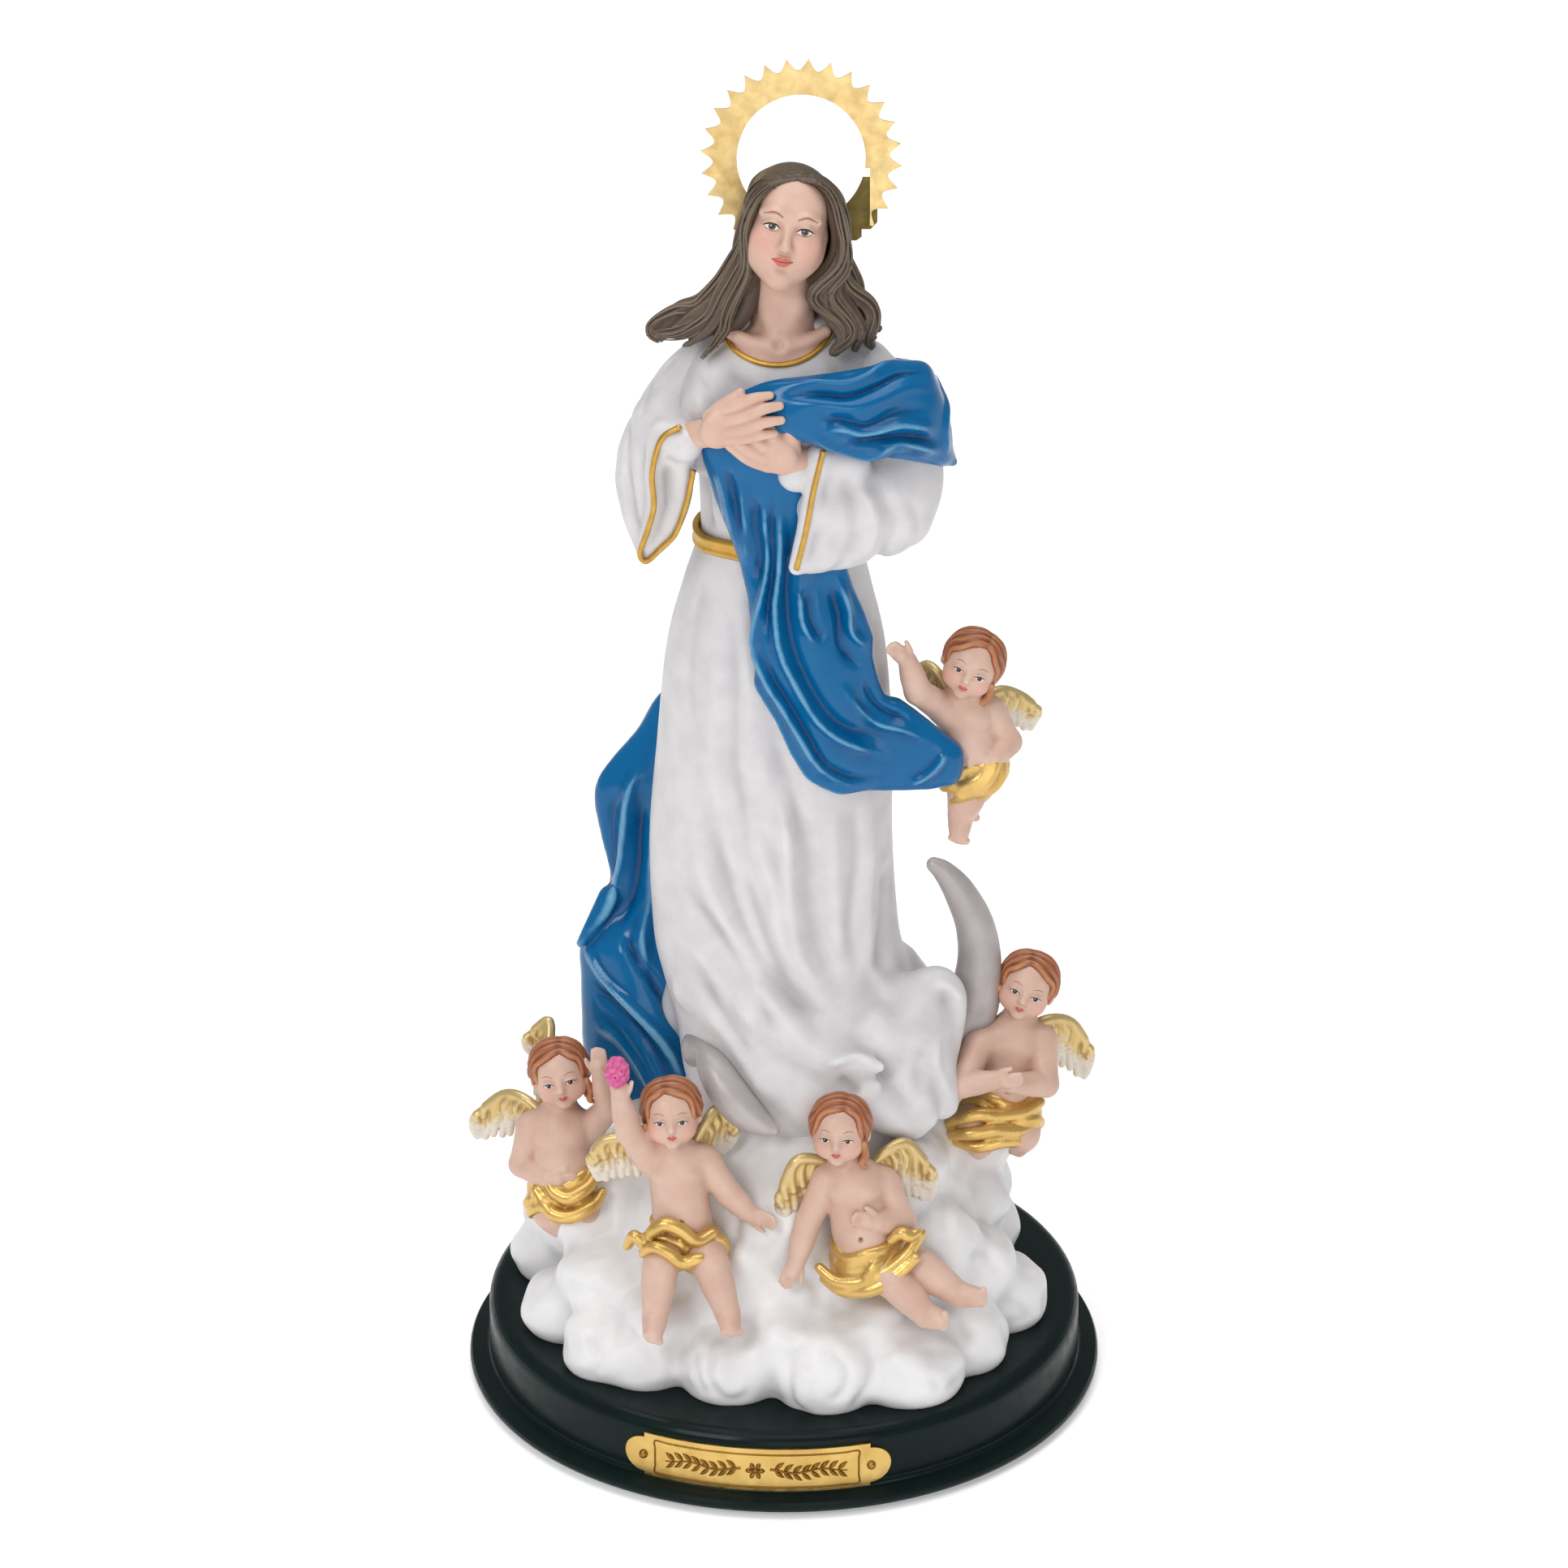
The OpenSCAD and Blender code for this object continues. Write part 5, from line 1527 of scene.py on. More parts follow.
CHERUBS = {
    "flying_cherub": {
        "head": (40, -4, 172.5), "look": (22, -2, -8), "chest": (38.5, -4, 160), "pelvis": (40.6, -4, 149),
        "right_arm": [(34, -6, 163), (28.4, -10, 169), (26.2, -11.5, 177)], "right_hand": (-0.7, -0.2, 0.8),
        "left_arm": [(43.8, -4, 161.5), (48.0, -5, 154.6), (45, -9, 153)], "left_hand": (-1, -0.3, -0.1),
        "right_leg": [(38.8, -5, 147.5), (39.3, -7, 143), (37.9, -7, 138)], "right_foot": (-0.1, -0.5, -1),
        "left_leg": [(41.6, -3, 147.5), (41.4, -3, 143.5), (40.2, -2, 140.5)],
        "left_foot": (-0.1, -0.1, -1),
        "swags": [
            (
                [
                    (44.2, -8.2, 154.4), (44.8, -10, 151.6), (42.6, -11, 148), (39, -10.6, 144.4),
                    (36.4, -8.6, 142.4),
                ],
                1.5,
            ),
            ([(43.4, -9, 153.8), (42.8, -10.6, 151), (40.4, -11.2, 147.8), (37.4, -10.4, 145.4)], 1.3),
            ([(45.2, -7.4, 153.6), (46.4, -8.4, 149.6), (43.6, -9.6, 145), (40, -9, 142.4)], 1.3),
        ],
        "wings": [[(50.6, 6, 160.4), (54.0, 7, 153.8)], [(30.4, 4, 168.6), (29.6, 4, 164)]],
    },
    "right_cherub": {
        "head": (52.9, 1, 92.3), "look": (20, -4, -6), "chest": (49.4, -1.5, 78.5), "pelvis": (48, -3, 67),
        "right_arm": [(42.4, -6.5, 81.5), (38.2, -15.4, 76.6), (45.6, -16, 78.2)],
        "right_hand": (1, -0.2, 0.1),
        "left_arm": [(56.2, -2, 80.4), (57.0, -8.4, 73), (49, -14.4, 76.4)], "left_hand": (-1, -0.2, 0.1),
        "right_leg": [(44.4, -5, 64.5), (40.8, -9.4, 63.4), (42, -6, 58)], "right_foot": (0.2, 0.4, -1),
        "left_leg": [(51, -5, 63.6), (52, -8, 60.4), (51.6, -4, 57)], "left_foot": (0, 0.6, -1),
        "swags": [
            (
                [
                    (36, -10.5, 63.8), (38.6, -12.4, 67), (42, -12.4, 68), (47, -11.4, 66.4),
                    (52, -9.6, 66.6), (56, -6.4, 68),
                ],
                1.5,
            ),
            (
                [
                    (36.4, -11.6, 61.6), (40, -13.6, 64), (45, -13.2, 64), (50, -11.6, 62.8),
                    (54.6, -8.6, 63.4),
                ],
                1.5,
            ),
            (
                [(37.6, -11, 59.6), (41.6, -13.4, 60.6), (46.6, -13, 61), (51, -11, 60), (54.4, -8, 60.4)],
                1.4,
            ),
        ],
        "wings": [[(63, 8, 79.6), (67, 9, 67.4)], [(38, 8, 84), (35, 9, 76)]],
    },
    "left_cherub": {
        "head": (-48.8, -8, 75.5), "look": (-12, -2, 1), "chest": (-49, -9, 61),
        "pelvis": (-48.5, -11, 51.4),
        "right_arm": [(-55, -8.5, 62.5), (-57.3, -10, 54), (-51.4, -16.5, 54)], "right_hand": (1, -0.2, 0),
        "left_arm": [(-42.5, -9, 62.5), (-38, -11.5, 69), (-39.8, -12.5, 78)], "left_hand": (-0.1, -0.1, 1),
        "right_leg": [(-51.5, -13, 47.5), (-50.6, -15.4, 44.6), (-47, -14.4, 40)],
        "right_foot": (0.8, 0.2, -0.8),
        "left_leg": [(-46, -13, 47.5), (-43.6, -15.4, 44.6), (-41, -13.6, 40)],
        "left_foot": (0.3, 0.2, -0.8),
        "swags": [
            (
                [
                    (-51.6, -17, 53.6), (-49.4, -18.6, 51.8), (-46.4, -19.4, 50.4), (-42.8, -17.8, 52.8),
                    (-40.6, -15, 56),
                ],
                1.5,
            ),
            (
                [
                    (-54.2, -16, 50.6), (-50.4, -19.6, 47.4), (-46, -20.2, 46.2), (-42, -18.6, 48.4),
                    (-39.6, -16, 50.6),
                ],
                1.5,
            ),
        ],
        "wings": [[(-61.6, 1, 65.4), (-68.4, 2, 56)], [(-51.4, 4, 82), (-56.4, 4, 75)]],
    },
    "seated_cherub": {
        "head": (-24.2, -34, 80), "look": (-3, -4, 0), "chest": (-23, -35.5, 66.5),
        "pelvis": (-21.5, -36.5, 52),
        "right_arm": [(-29, -35.5, 70), (-33.2, -38, 77.5), (-35, -40, 87)], "right_hand": (-0.1, -0.1, 1),
        "left_arm": [(-17, -35.5, 69), (-12, -37, 62), (-7.4, -39, 58)], "left_hand": (1, -0.3, -0.25),
        "right_leg": [(-24.5, -38, 50.5), (-26.6, -45.5, 48.5), (-27.8, -49.2, 38)],
        "right_foot": (-0.1, -1, -0.5),
        "left_leg": [(-18.5, -38, 50.5), (-15.6, -45.5, 48.8), (-12.2, -49.2, 39.5)],
        "left_foot": (0.2, -1, -0.5),
        "swags": [
            (
                [
                    (-30, -42, 53), (-28.4, -43.6, 56.2), (-25.6, -44, 57.8), (-22, -44.2, 56.8),
                    (-18.6, -44, 54.6), (-15.4, -42.4, 55),
                ],
                1.5,
            ),
            (
                [
                    (-30.4, -44, 51.4), (-28, -46, 54), (-25, -46.8, 52.4), (-22, -47, 50.4),
                    (-18.4, -46.8, 51.8), (-15, -45.4, 50.4),
                ],
                1.4,
            ),
            ([(-34, -41.4, 51.6), (-32, -43, 54.4), (-29.4, -44, 53.2)], 1.2),
        ],
        "wings": [[(-14, -27, 77.4), (-11, -27, 69)], [(-38.4, -31, 72), (-41, -31, 64)]],
    },
    "reclining_cherub": {
        "head": (12, -36, 77), "look": (0, -2, -8), "chest": (15, -37, 63), "pelvis": (17.5, -39, 49.5),
        "right_arm": [(9.4, -37, 65.5), (5.2, -39.5, 56.5), (2.6, -43, 48.4)],
        "right_hand": (-0.5, -0.4, -1),
        "left_arm": [(21.5, -36, 64), (25.6, -39, 56), (20, -43.4, 58.5)], "left_hand": (-1, -0.3, 0.4),
        "right_leg": [(18, -41, 47.5), (24, -46, 45), (30.6, -48, 38)], "right_foot": (0.8, -0.7, 0.1),
        "left_leg": [(20.5, -38.5, 48), (29.5, -42, 46.4), (38, -44.5, 41)], "left_foot": (1, -0.4, 0.1),
        "swags": [
            (
                [
                    (7.6, -43, 47.4), (11.4, -45.4, 44.6), (16, -46.6, 45), (21.4, -46.4, 48),
                    (26.4, -45, 51.6), (29.6, -42.4, 54.6),
                ],
                1.5,
            ),
            (
                [
                    (8.6, -43, 44.6), (13, -46, 42.4), (18.4, -47.6, 44), (24, -47.4, 47.6),
                    (28.4, -46, 50.4),
                ],
                1.4,
            ),
            ([(23, -44.4, 55), (26, -45, 56.4), (28.6, -44, 55.6)], 1.3),
        ],
        "wings": [[(2.4, -36.4, 69.6), (-0.4, -37.4, 55)], [(26.6, -30, 70.5), (32.4, -30, 58.6)]],
    },
}
HAND_SIZE = 1.15  # of the cherubs, against the measures in add_hand
CURL_RADII = [0.8, 0.9, 0.75, 0.4]  # of a side curl, from its root to its tip
WAVE_RADII = [0.3, 0.5, 0.6, 0.64, 0.64, 0.64, 0.62, 0.6, 0.56, 0.5, 0.4, 0.2]  # down a strand of hair
WING_FEATHERS = 13


def unit(v):
    v = np.array(v, float)
    return v / np.linalg.norm(v)


def add_hand(clay, wrist, way, thumb_side):
    """A small hand of palm, four curled fingers and a thumb, pointing along way."""
    size = HAND_SIZE
    way = unit(way)
    side = unit(np.cross(way, (0, -1, 0))) * thumb_side
    back = np.cross(way, side)
    wrist = np.array(wrist, float)
    palm = wrist + way * 1.9 * size
    for k in range(4):
        root = palm + side * (1.05 - 0.72 * k) * size + way * 0.9 * size
        reach = (2.2, 2.5, 2.3, 1.9)[k] * size
        bend = back * 0.5 * size
        knuckle = root + way * reach * 0.6 - bend * 0.3
        finger = [palm + side * (0.8 - 0.55 * k) * size, root, knuckle, root + way * reach - bend]
        clay.limb(finger, [0.8, 0.62, 0.56, 0.48], 0.3)
    thumb = palm + side * 2.0 * size
    clay.limb(
        [wrist + side * 1.0, thumb, palm + side * 2.5 * size + way * 1.5 * size], [0.8, 0.66, 0.5], 0.4
    )
    clay.limb([wrist, palm], [1.75, 1.75], 0.6)


def add_foot(clay, ankle, way):
    way = unit(way)
    side = unit(np.cross(way, (0.2, -1, 0.1)))
    ankle = np.array(ankle, float)
    clay.limb([ankle, ankle + way * 2.4, ankle + way * 4.2], [2.7, 2.5, 2.0], 0.8)
    clay.blob(ankle - way * 0.8 + vec(0, 0.4, -0.4), (2.2, 2.2, 2.1), 0.8)
    for k in range(5):
        toe = ankle + way * (5.6 - 0.2 * abs(k - 1)) + side * (k - 2) * 0.86
        clay.blob(toe, 0.74 if k else 0.88, 0.3)


def cherub_pose(clay, cherub):
    roll, pitch, yaw = cherub["look"]
    return Posed(clay, cherub["head"], turn(roll, pitch, yaw))


def make_cherub_body(cherub):
    limbs = [p for k in ("right_arm", "left_arm", "right_leg", "left_leg") for p in cherub[k]]
    points = np.array([cherub[k] for k in ("head", "chest", "pelvis")] + limbs)
    clay = Clay(points.min(0) - 9, points.max(0) + 9, BODY_CELL)
    head, chest, pelvis = (np.array(cherub[k], float) for k in ("head", "chest", "pelvis"))
    face = cherub_pose(clay, cherub)
    face.blob((0, 0.6, 1.2), (5.9, 6.1, 5.8), 1.5)
    face.blob((0, -1.3, -1.9), (5.2, 4.7, 4.7), 2)
    face.pair((2.7, -3.2, -2.5), (2.3, 2.2, 2.1), 1.5)
    face.blob((0, -4.6, -5.1), (1.5, 1.3, 1.15), 1)
    face.pair((2.4, -6.5, 0.3), (1.5, 0.9, 0.9), 1.0, carve=True)
    face.pair((2.4, -4.45, 0.15), (1.35, 1.3, 1.25), 0.3)
    face.both([(1.15, -5.6, 0.2), (2.4, -5.9, 0.95), (3.7, -4.95, 0.25)], [0.16, 0.26, 0.16], 0.3)
    face.limb([(0, -5.6, 1.0), (0, -6.3, -1.0)], [0.5, 0.66], 0.7)
    face.blob((0, -6.5, -1.25), (0.75, 0.7, 0.6), 0.4)
    face.pair((0.62, -6.0, -1.45), (0.45, 0.5, 0.4), 0.3)
    face.limb([(-1.15, -5.6, -3.0), (0, -6.15, -2.8), (1.15, -5.6, -3.0)], [0.2, 0.34, 0.2], 0.3)
    face.limb([(-0.9, -5.6, -3.3), (0, -6.05, -3.55), (0.9, -5.6, -3.3)], [0.2, 0.42, 0.2], 0.3)
    face.limb([(-1.2, -6.0, -3.1), (0, -6.6, -3.15), (1.2, -6.0, -3.1)], [0.1, 0.12, 0.1], 0.15, carve=True)
    face.pair((5.9, 0.3, -1.0), (0.8, 1.3, 1.6), 0.5)
    shoulders = [np.array(cherub[k][0], float) for k in ("right_arm", "left_arm")]
    clay.limb([head + (0, 0.8, -4), 0.4 * head + 0.6 * chest + (0, 0.5, 0)], [3.4, 3.8], 1.5)
    clay.limb([shoulders[0], chest + (0, 0, 2.0), shoulders[1]], [3.3, 4.6, 3.3], 2)
    clay.limb([chest + (0, 0, 1.0), 0.5 * (chest + pelvis) + (0, -0.4, 0), pelvis], [6.2, 6.3, 6.3], 2)
    clay.blob(0.35 * chest + 0.65 * pelvis + (0, -2.2, 0.6), (5.8, 5.0, 5.0), 1.5)
    for side in (-1, 1):
        clay.blob(chest + (side * 2.6, -3.6, 1.2), (2.9, 2.2, 2.2), 1.0)
        clay.blob(pelvis + (side * 2.9, 2.6, -0.8), (3.5, 3.4, 3.5), 1.2)
    clay.blob(0.4 * chest + 0.6 * pelvis + (0, -7.0, 0.2), (0.5, 0.9, 0.6), 0.5, carve=True)
    for name, thumb in (("right", 1), ("left", -1)):
        arm, leg = (np.array(cherub[name + part], float) for part in ("_arm", "_leg"))
        upward = 1 if cherub[name + "_hand"][2] > 0.5 else -1
        clay.limb(
            [0.7 * arm[0] + 0.3 * chest, arm[0], 0.5 * (arm[0] + arm[1]), arm[1]],
            [3.0, 3.3, 3.1, 2.8],
            1.0,
            steps=5,
        )
        clay.limb([arm[1], 0.5 * (arm[1] + arm[2]), arm[2]], [2.85, 2.75, 2.0], 0.8, steps=5)
        add_hand(clay, arm[2], cherub[name + "_hand"], thumb * upward)
        clay.limb(
            [0.7 * leg[0] + 0.3 * pelvis, 0.5 * (leg[0] + leg[1]), leg[1]], [4.9, 4.6, 3.8], 1.2, steps=5
        )
        clay.limb([leg[1], 0.6 * leg[1] + 0.4 * leg[2], leg[2]], [3.75, 3.75, 2.6], 1.0, steps=5)
        add_foot(clay, leg[2], cherub[name + "_foot"])
    return sculpt(clay, smooth=1) + (face,)


def make_cherub_hair(cherub, seed):
    """Wavy hair, combed from a parting down past the temples to the jaw."""
    head = np.array(cherub["head"], float)
    clay = Clay(head - 11, head + 11, FINE_CELL)
    pose = cherub_pose(clay, cherub)
    pose.blob((0, 1.0, 1.3), (6.05, 6.2, 5.9), 0.8)
    pose.blob((0, -7.6, -1.2), (5.5, 6.0, 6.9), 0.5, carve=True)
    parting = 0.2 if seed % 2 else -0.2
    short = -1 if seed % 2 else 1  # the side combed over, which hangs less far
    rows = 20
    for side in (-1, 1):
        for row in range(rows):
            back = row / (rows - 1)
            lift, turned = math.radians(58 + 92 * back), math.radians(60 + 114 * back)
            drop = math.radians((-34 if side == short else -54) + 7 * math.sin(2.4 * row + seed))
            start = np.array((parting, -math.cos(lift), math.sin(lift)))
            over = np.array((side * 1.05, -0.72 + 1.4 * back, 0.62))
            level = math.cos(drop)
            end = np.array((side * level * math.sin(turned), -level * math.cos(turned), math.sin(drop)))
            path = []
            for u in np.linspace(0, 1, len(WAVE_RADII)):
                ray = unit((1 - u) ** 2 * start + 2 * u * (1 - u) * over + u**2 * end)
                wave = 0.15 * math.sin(10 * u + 0.35 * row + seed) * u
                swell = 1.0 + 0.05 * u**4 + 0.05 * math.sin(1.9 * row + 4 * u)
                ray = unit(ray + (0, wave, 0.3 * wave))
                path.append(ray * (6.15, 6.35, 6.05) * swell + (0, 0.9, 1.2))
            pose.limb(path, WAVE_RADII, 0.08, steps=2)
    for k in range(7):
        x = 0.9 * (k - 3)
        line = [(0.3 * x, 6.3, 4.8), (x, 7.3, 1.5), (x, 7.2, -1.0), (0.9 * x, 6.2, -4.0)]
        pose.limb(line, [0.4, 0.62, 0.6, 0.3], 0.08, steps=2)
    side = -short
    curl = [
        (side * 5.6, -3.0, -1.5), (side * 5.9, -2.6, -4.2), (side * 5.3, -2.9, -6.2),
        (side * 6.2, -2.6, -7.2),
    ]
    pose.limb(curl, CURL_RADII, 0.2)
    pose.limb([(x - side * 0.5, y + 1.6, z + 0.6) for x, y, z in curl], CURL_RADII, 0.2)
    return sculpt(clay, smooth=1)


def make_cherub_drape(cherub, seed):
    """A gilded cloth wound round the hips in broad soft folds, with a swag over the thighs."""
    pelvis = np.array(cherub["pelvis"], float)
    legs = [np.array(cherub[k], float) for k in ("right_leg", "left_leg")]
    clay = Clay(pelvis - 18, pelvis + 18, DRAPE_CELL)
    lean = 1 if seed % 2 else -1
    for row, (width, height) in enumerate(((1.25, 1.9), (1.0, 0.1), (1.3, -1.7), (1.1, -3.3))):
        ring = []
        for a in np.linspace(0, TURN, 33):
            wave = 0.6 * math.sin(3 * a + seed + 0.5 * row) + 0.25 * math.sin(5 * a + 2 * seed)
            r = 6.3 + 0.1 * row + 0.15 * wave
            ring.append(
                pelvis + (r * math.cos(a), r * math.sin(a), height + wave + lean * 1.0 * math.cos(a))
            )
        clay.limb(ring, [width] * len(ring), 0.8, steps=1)
    for leg in legs:
        way = unit(leg[1] - leg[0])
        side = unit(np.cross(way, (0, 0, 1)) + (1e-3, 0, 0))
        up = np.cross(side, way)
        for row in range(2):
            spot = 0.7 * leg[0] + 0.3 * leg[1] + way * (row - 0.4) * 2.2
            ring = []
            for a in np.linspace(0, TURN, 25):
                r = 4.55 + 0.25 * math.sin(3 * a + 1.3 * row + seed)
                ring.append(spot + r * (math.cos(a) * side + math.sin(a) * up))
            clay.limb(ring, [1.2] * len(ring), 0.6, steps=1)
    clay.limb([pelvis + (0, 0, 1.2), pelvis - (0, 0, 1.6)], [6.0, 6.0], 0.6)
    for leg in legs:
        clay.limb([leg[0], 0.7 * leg[0] + 0.3 * leg[1]], [4.7, 4.65], 0.6)
    for points, width in cherub["swags"]:
        along = np.linspace(0, 1, 24)
        line = curve_points(points, len(along))
        line[:, 2] += 0.5 * np.sin(9 * along + seed)
        clay.limb(line, width * (0.75 + 0.35 * np.sin(math.pi * along)), 0.7, steps=1)
    return sculpt(clay, smooth=2)


# Rows of feathers: how far down each reaches, as a share of the wing, and how far forward it lies
WING_LAYERS = ((1.0, 0.0), (0.7, -0.5), (0.42, -0.95))


def make_cherub_wings(cherub):
    """Each wing is three overlapping rows of feathers, hung from an arched leading edge."""
    chest = np.array(cherub["chest"], float)
    meshes, gilts = [], []
    for crest, tip in cherub["wings"]:
        crest, tip = np.array(crest, float), np.array(tip, float)
        side = 1 if crest[0] > chest[0] else -1
        root = chest + (side * 2.6, 3.2, 2.5)
        edge = curve_points(
            [
                root,
                0.45 * root + 0.55 * crest + (0, 0, 1.8),
                crest,
                0.5 * crest + 0.5 * tip + (side * 1.5, 0, 0.4),
            ],
            WING_FEATHERS,
        )
        trail = curve_points(
            [root - (0, 0, 5.0), 0.5 * root + 0.5 * tip - (0, 0, 2.6), tip - (side * 1.6, 0, 1.6), tip],
            WING_FEATHERS,
        )
        both = np.concatenate([edge, trail])
        clay = Clay(both.min(0) - 4, both.max(0) + 4, WING_CELL)
        for layer, (reach, forward) in enumerate(WING_LAYERS):
            for k in range(layer % 2, WING_FEATHERS, 2 if layer else 1):
                uneven = (0.15 * side * math.sin(2.1 * k), 0, 0.25 * math.sin(3.3 * k))
                end = edge[k] + reach * (trail[k] - edge[k]) + uneven
                bow = 0.5 * (edge[k] + end) + (side * 0.7, forward + 0.2, 0)
                clay.limb(
                    [edge[k] + (0, 0.5 * forward, 0), bow, end + (0, forward, 0)],
                    [0.75, 1.0, 0.85],
                    0.26,
                    steps=4,
                )
        clay.limb(edge - (0, 0.5, 0), [1.2] * (WING_FEATHERS - 1) + [0.7], 0.4, steps=1)
        verts, faces = sculpt(clay, smooth=1)
        d_edge = distance_to_curve(verts, edge)[0]
        d_trail = distance_to_curve(verts, trail)[0]
        meshes.append((verts, faces))
        gilts.append(d_trail / (d_edge + d_trail + 1e-6))
    verts = np.concatenate([m[0] for m in meshes])
    faces = np.concatenate([meshes[0][1], meshes[1][1] + len(meshes[0][0])])
    return verts, faces, np.concatenate(gilts)


def make_cherub(name, cherub, seed):
    verts, faces, pose = make_cherub_body(cherub)
    marks = relief(verts, faces)
    marks["blush"] = blush(verts, pose, [(-3.4, -4.6, -2.2), (3.4, -4.6, -2.2)], 1.9)
    make_piece(name + "_figure", verts, faces, CHERUB_SKIN, "cherub_skin", [name + "_body"], marks=marks)
    tree = surface_tree(verts, faces)
    parts = []
    for side in (-1, 1):
        x = side * 2.4
        parts += [
            ("white", patch(tree, pose, almond(x, 0.15, 1.1, 0.54, 0.4, side * 2), 0.05)),
            ("dark", patch(tree, pose, oval(x, 0.22, 0.5, 0.48, 14), 0.1)),
            ("glint", patch(tree, pose, oval(x - 0.15, 0.4, 0.09, 0.09, 8), 0.14)),
        ]
        for kind, line, widths, lift in (
            ("dark", [(side * 1.25, 0.15), (x, 0.72), (side * 3.6, 0.2)], [0.08, 0.2, 0.08], 0.1),
            ("brow", [(side * 1.3, 1.85), (x, 2.2), (side * 3.6, 1.8)], [0.06, 0.13, 0.06], 0.06),
        ):
            parts.append((kind, strip(tree, pose, line, widths, lift)))
    parts += mouth_paint(
        tree, pose,
        ([(-1.0, -3.1), (-0.4, -2.9), (0, -2.98), (0.4, -2.9), (1.0, -3.1)], [0.1, 0.5, 0.4, 0.5, 0.1]),
        ([(-0.85, -3.25), (0, -3.52), (0.85, -3.25)], [0.1, 0.6, 0.1]),
        ([(-1.0, -3.12), (0, -3.2), (1.0, -3.12)], [0.05, 0.12, 0.05]),
    )
    make_face_paint(name + "_face_paint", "cherub_skin", parts)
    make_sculpted(
        name + "_curls", make_cherub_hair(cherub, seed), CHERUB_HAIR, "cherub_hair", name + "_hair", 0.16
    )
    make_sculpted(
        name + "_loincloth", make_cherub_drape(cherub, seed), DRAPE_GOLD, "drape_gold", name + "_drape", 0.6
    )
    verts, faces, gilt = make_cherub_wings(cherub)
    marks = relief(verts, faces)
    marks["gilt"] = gilt
    make_piece(name + "_feathers", verts, faces, WING, "wing_gold", [name + "_wings"], marks=marks)


for seed, (cherub_name, cherub_data) in enumerate(CHERUBS.items()):
    make_cherub(cherub_name, cherub_data, seed + 1)


def make_flower():
    """A tight cluster of ruffled petals on a short stalk."""
    centre = np.array((-35.6, -40.6, 93.6))
    clay = Clay(centre - 8, centre + 6, PETAL_CELL)
    count = 30
    for k in range(count):
        z = 1 - 2 * (k + 0.5) / count
        a = 2.4 * k
        r = math.sqrt(1 - z * z)
        spot = centre + np.array((2.0 * r * math.cos(a), 1.7 * r * math.sin(a), 3.0 * z))
        clay.blob(spot, 0.95, 0.12)
        clay.blob(centre + (spot - centre) * 1.34, 0.34, 0.2, carve=True)
    clay.blob(centre, (1.9, 1.7, 2.9), 0.3)
    clay.limb([(-35.2, -40.2, 88), (-35.5, -40.6, 92)], [0.7, 0.6], 0.3)
    return sculpt(clay, smooth=1)


make_sculpted("flower_petals", make_flower(), FLOWER_PINK, "flower_pink", "flower")


# ---------------------------------------------------------------- nameplate ornament

PLATE_RADIUS = 65.9  # face of the plate, from the plinth's axis
PLATE_TURN = -5.4  # degrees round the plinth, toward the viewer's left
PLATE_Z = 9.6


def on_plate(across, up, out=0.0):
    """A spot on the curved plate, by millimetres across and up from its middle."""
    a = math.radians(PLATE_TURN) + across / PLATE_RADIUS
    r = PLATE_RADIUS + out
    return (r * math.sin(a), -r * math.cos(a), PLATE_Z + up)


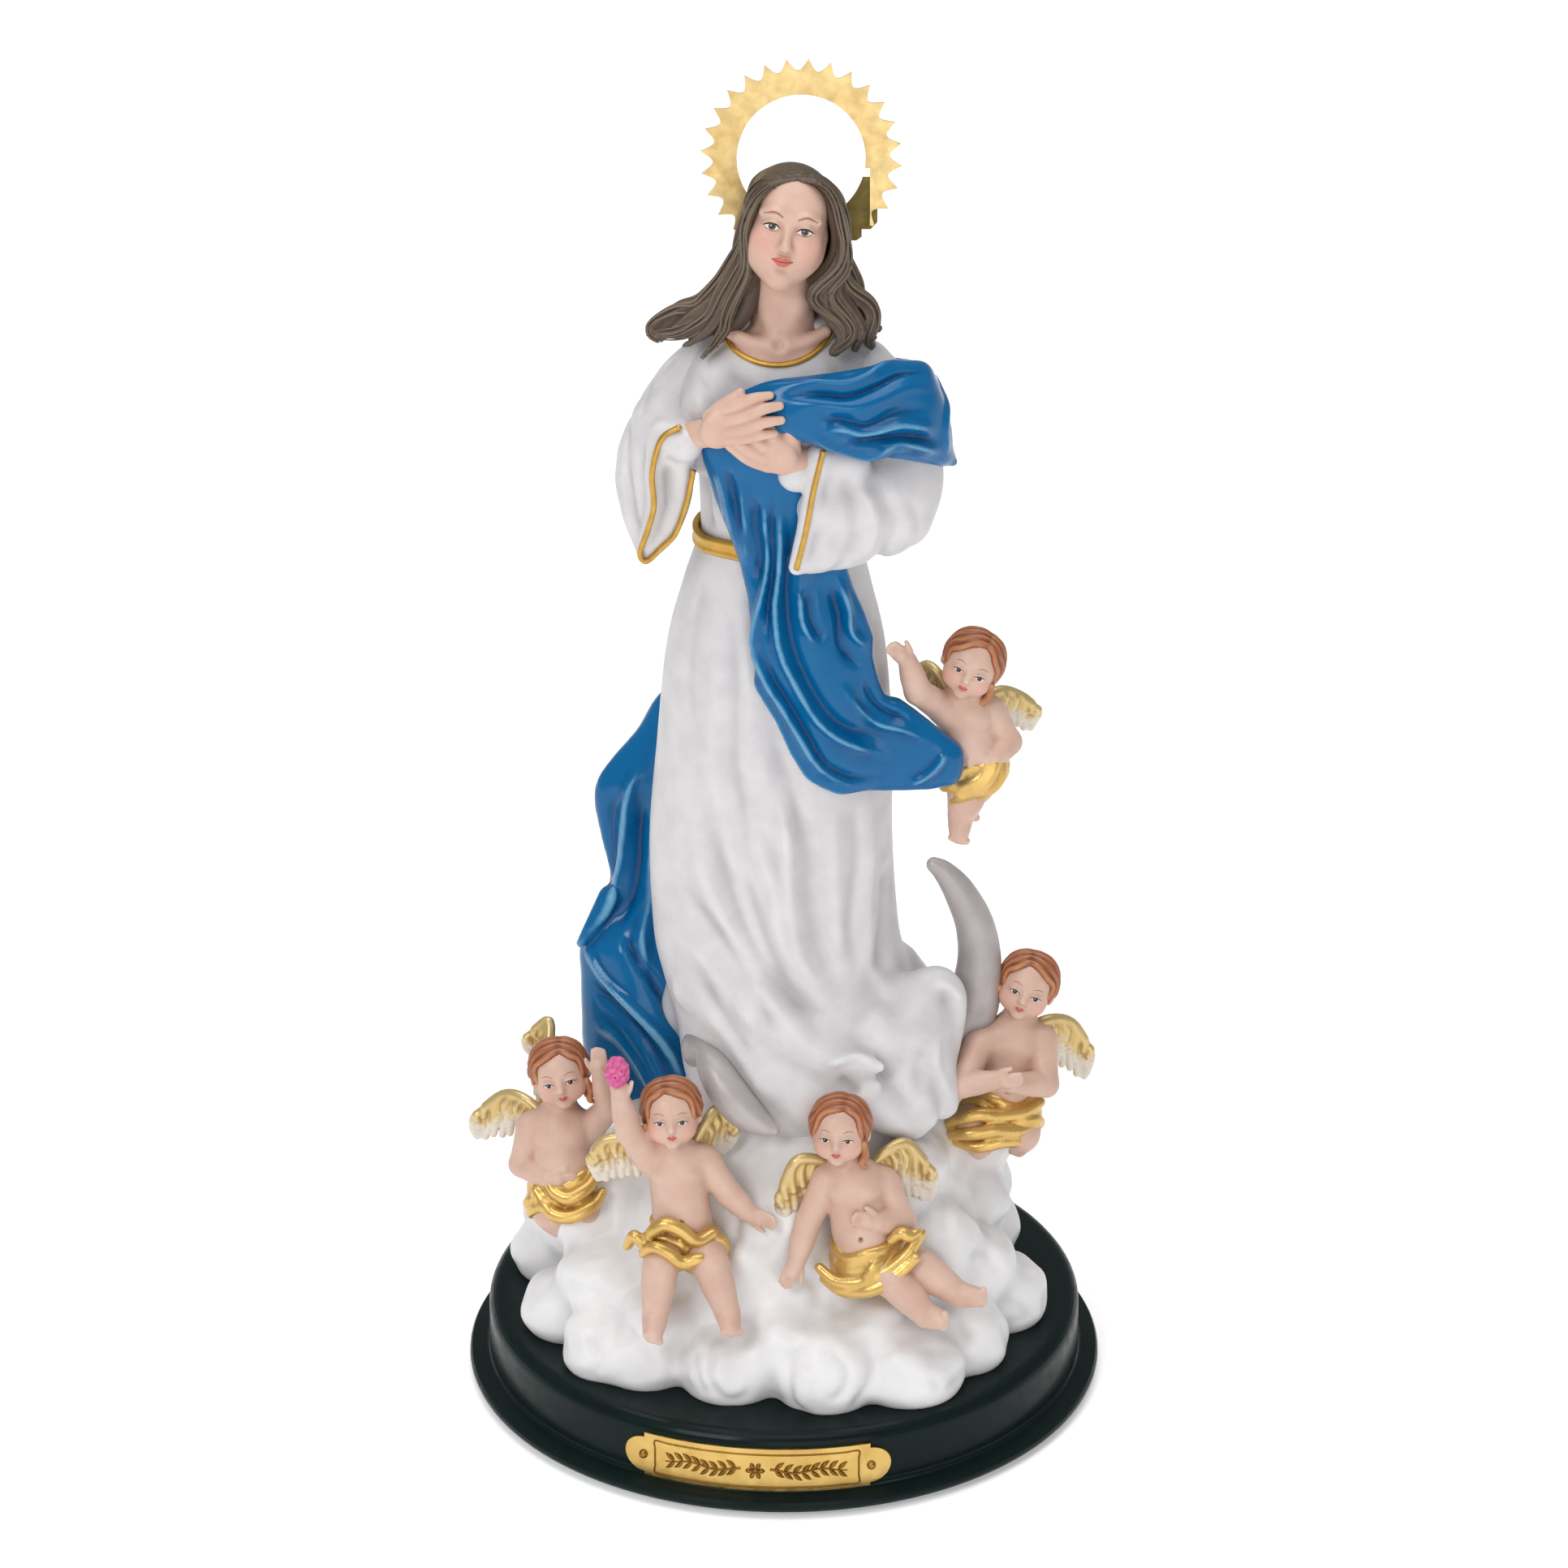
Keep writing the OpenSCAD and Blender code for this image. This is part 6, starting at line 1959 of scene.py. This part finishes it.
def make_plate_ornament():
    """A raised border and a leafy scroll in place of lettering."""
    half, top = 22.5, 4.0
    border = []
    corners = [(-half, -top), (half, -top), (half, top), (-half, top)]
    for (x0, z0), (x1, z1) in zip(corners, corners[1:] + corners[:1]):
        steps = 16 if x0 != x1 else 4
        border += [on_plate(x0 + (x1 - x0) * i / steps, z0 + (z1 - z0) * i / steps) for i in range(steps)]
    parts = [tube(border + border[:2], 0.22, 8, 220)]
    for side in (-1, 1):
        stem = [on_plate(side * x, 0.45 * math.sin(0.55 * x)) for x in np.arange(3.2, 20.1, 0.7)]
        parts.append(tube(stem, [0.3, 0.26, 0.14], 8, 90))
        for k in range(8):
            x = 4.2 + 1.95 * k
            for way in (-1, 1):
                base = (side * x, 0.45 * math.sin(0.55 * x))
                leaf = [
                    on_plate(base[0] + side * 2.1 * u, base[1] + way * 1.9 * u**0.8, 0.15 * math.sin(3 * u))
                    for u in (0, 0.3, 0.6, 1)
                ]
                parts.append(tube(leaf, [0.1, 0.42, 0.4, 0.05], 8, 12))
    for step in range(6):
        a = TURN * step / 6
        petal = [on_plate(u * math.cos(a), u * math.sin(a), 0.1) for u in (0.4, 1.0, 1.6, 2.1)]
        parts.append(tube(petal, [0.15, 0.45, 0.5, 0.1], 8, 12))
    parts.append(
        tube([on_plate(0, 0, -0.3), on_plate(0, 0, 0.2), on_plate(0, 0, 0.5)], [0.6, 0.6, 0.2], 10, 8)
    )
    return join(parts)


PLATE_ORNAMENT = sheet_metal("plate_ornament", rgb(150, 108, 48), rgb(96, 64, 26), 0.4)
make_piece("plate_scroll", *make_plate_ornament(), PLATE_ORNAMENT, "plate_brass")


# ---------------------------------------------------------------- stage and light


def make_stage():
    """A pale floor, far larger than the view."""
    reach = 6.0
    verts = [(-reach, -reach, 0.0), (reach, -reach, 0.0), (reach, reach, 0.0), (-reach, reach, 0.0)]
    mesh = bpy.data.meshes.new("floor")
    mesh.from_pydata(verts, [], [(0, 1, 2, 3)])
    floor = bpy.data.objects.new("floor", mesh)
    bpy.context.scene.collection.objects.link(floor)
    p = Paint("floor_paper", 0.9, specular=0.1)
    p.put(p.shader, "Emission Color", (1.0, 1.0, 1.0, 1.0))
    p.put(p.shader, "Emission Strength", 0.3)
    p.put(p.shader, "Base Color", p.mix(p.noise(40.0, 2.0), rgb(250, 250, 250), rgb(246, 246, 247)))
    mesh.materials.append(p.material)


def area_light(name, place, target, size, power):
    data = bpy.data.lights.new(name, "AREA")
    data.shape = "DISK"
    data.size = size
    data.energy = power
    light = bpy.data.objects.new(name, data)
    light.location = place
    light.rotation_euler = (Vector(target) - Vector(place)).to_track_quat("-Z", "Y").to_euler()
    bpy.context.scene.collection.objects.link(light)


def make_lights():
    centre = (0.0, 0.0, 0.15)
    area_light("key", (-0.8, -1.3, 1.3), centre, 0.7, 10.0)
    area_light("front_card", (0.4, -2.1, 0.5), centre, 1.6, 11.0)
    area_light("top", (0.0, 0.3, 2.2), (0.0, 0.3, 0.0), 2.2, 32.0)
    world = bpy.data.worlds.new("studio")
    world.use_nodes = True
    background = world.node_tree.nodes["Background"]
    background.inputs["Color"].default_value = (1.0, 1.0, 1.0, 1.0)
    background.inputs["Strength"].default_value = 0.3
    bpy.context.scene.world = world


make_stage()
make_lights()
bpy.context.scene.view_settings.view_transform = "Standard"
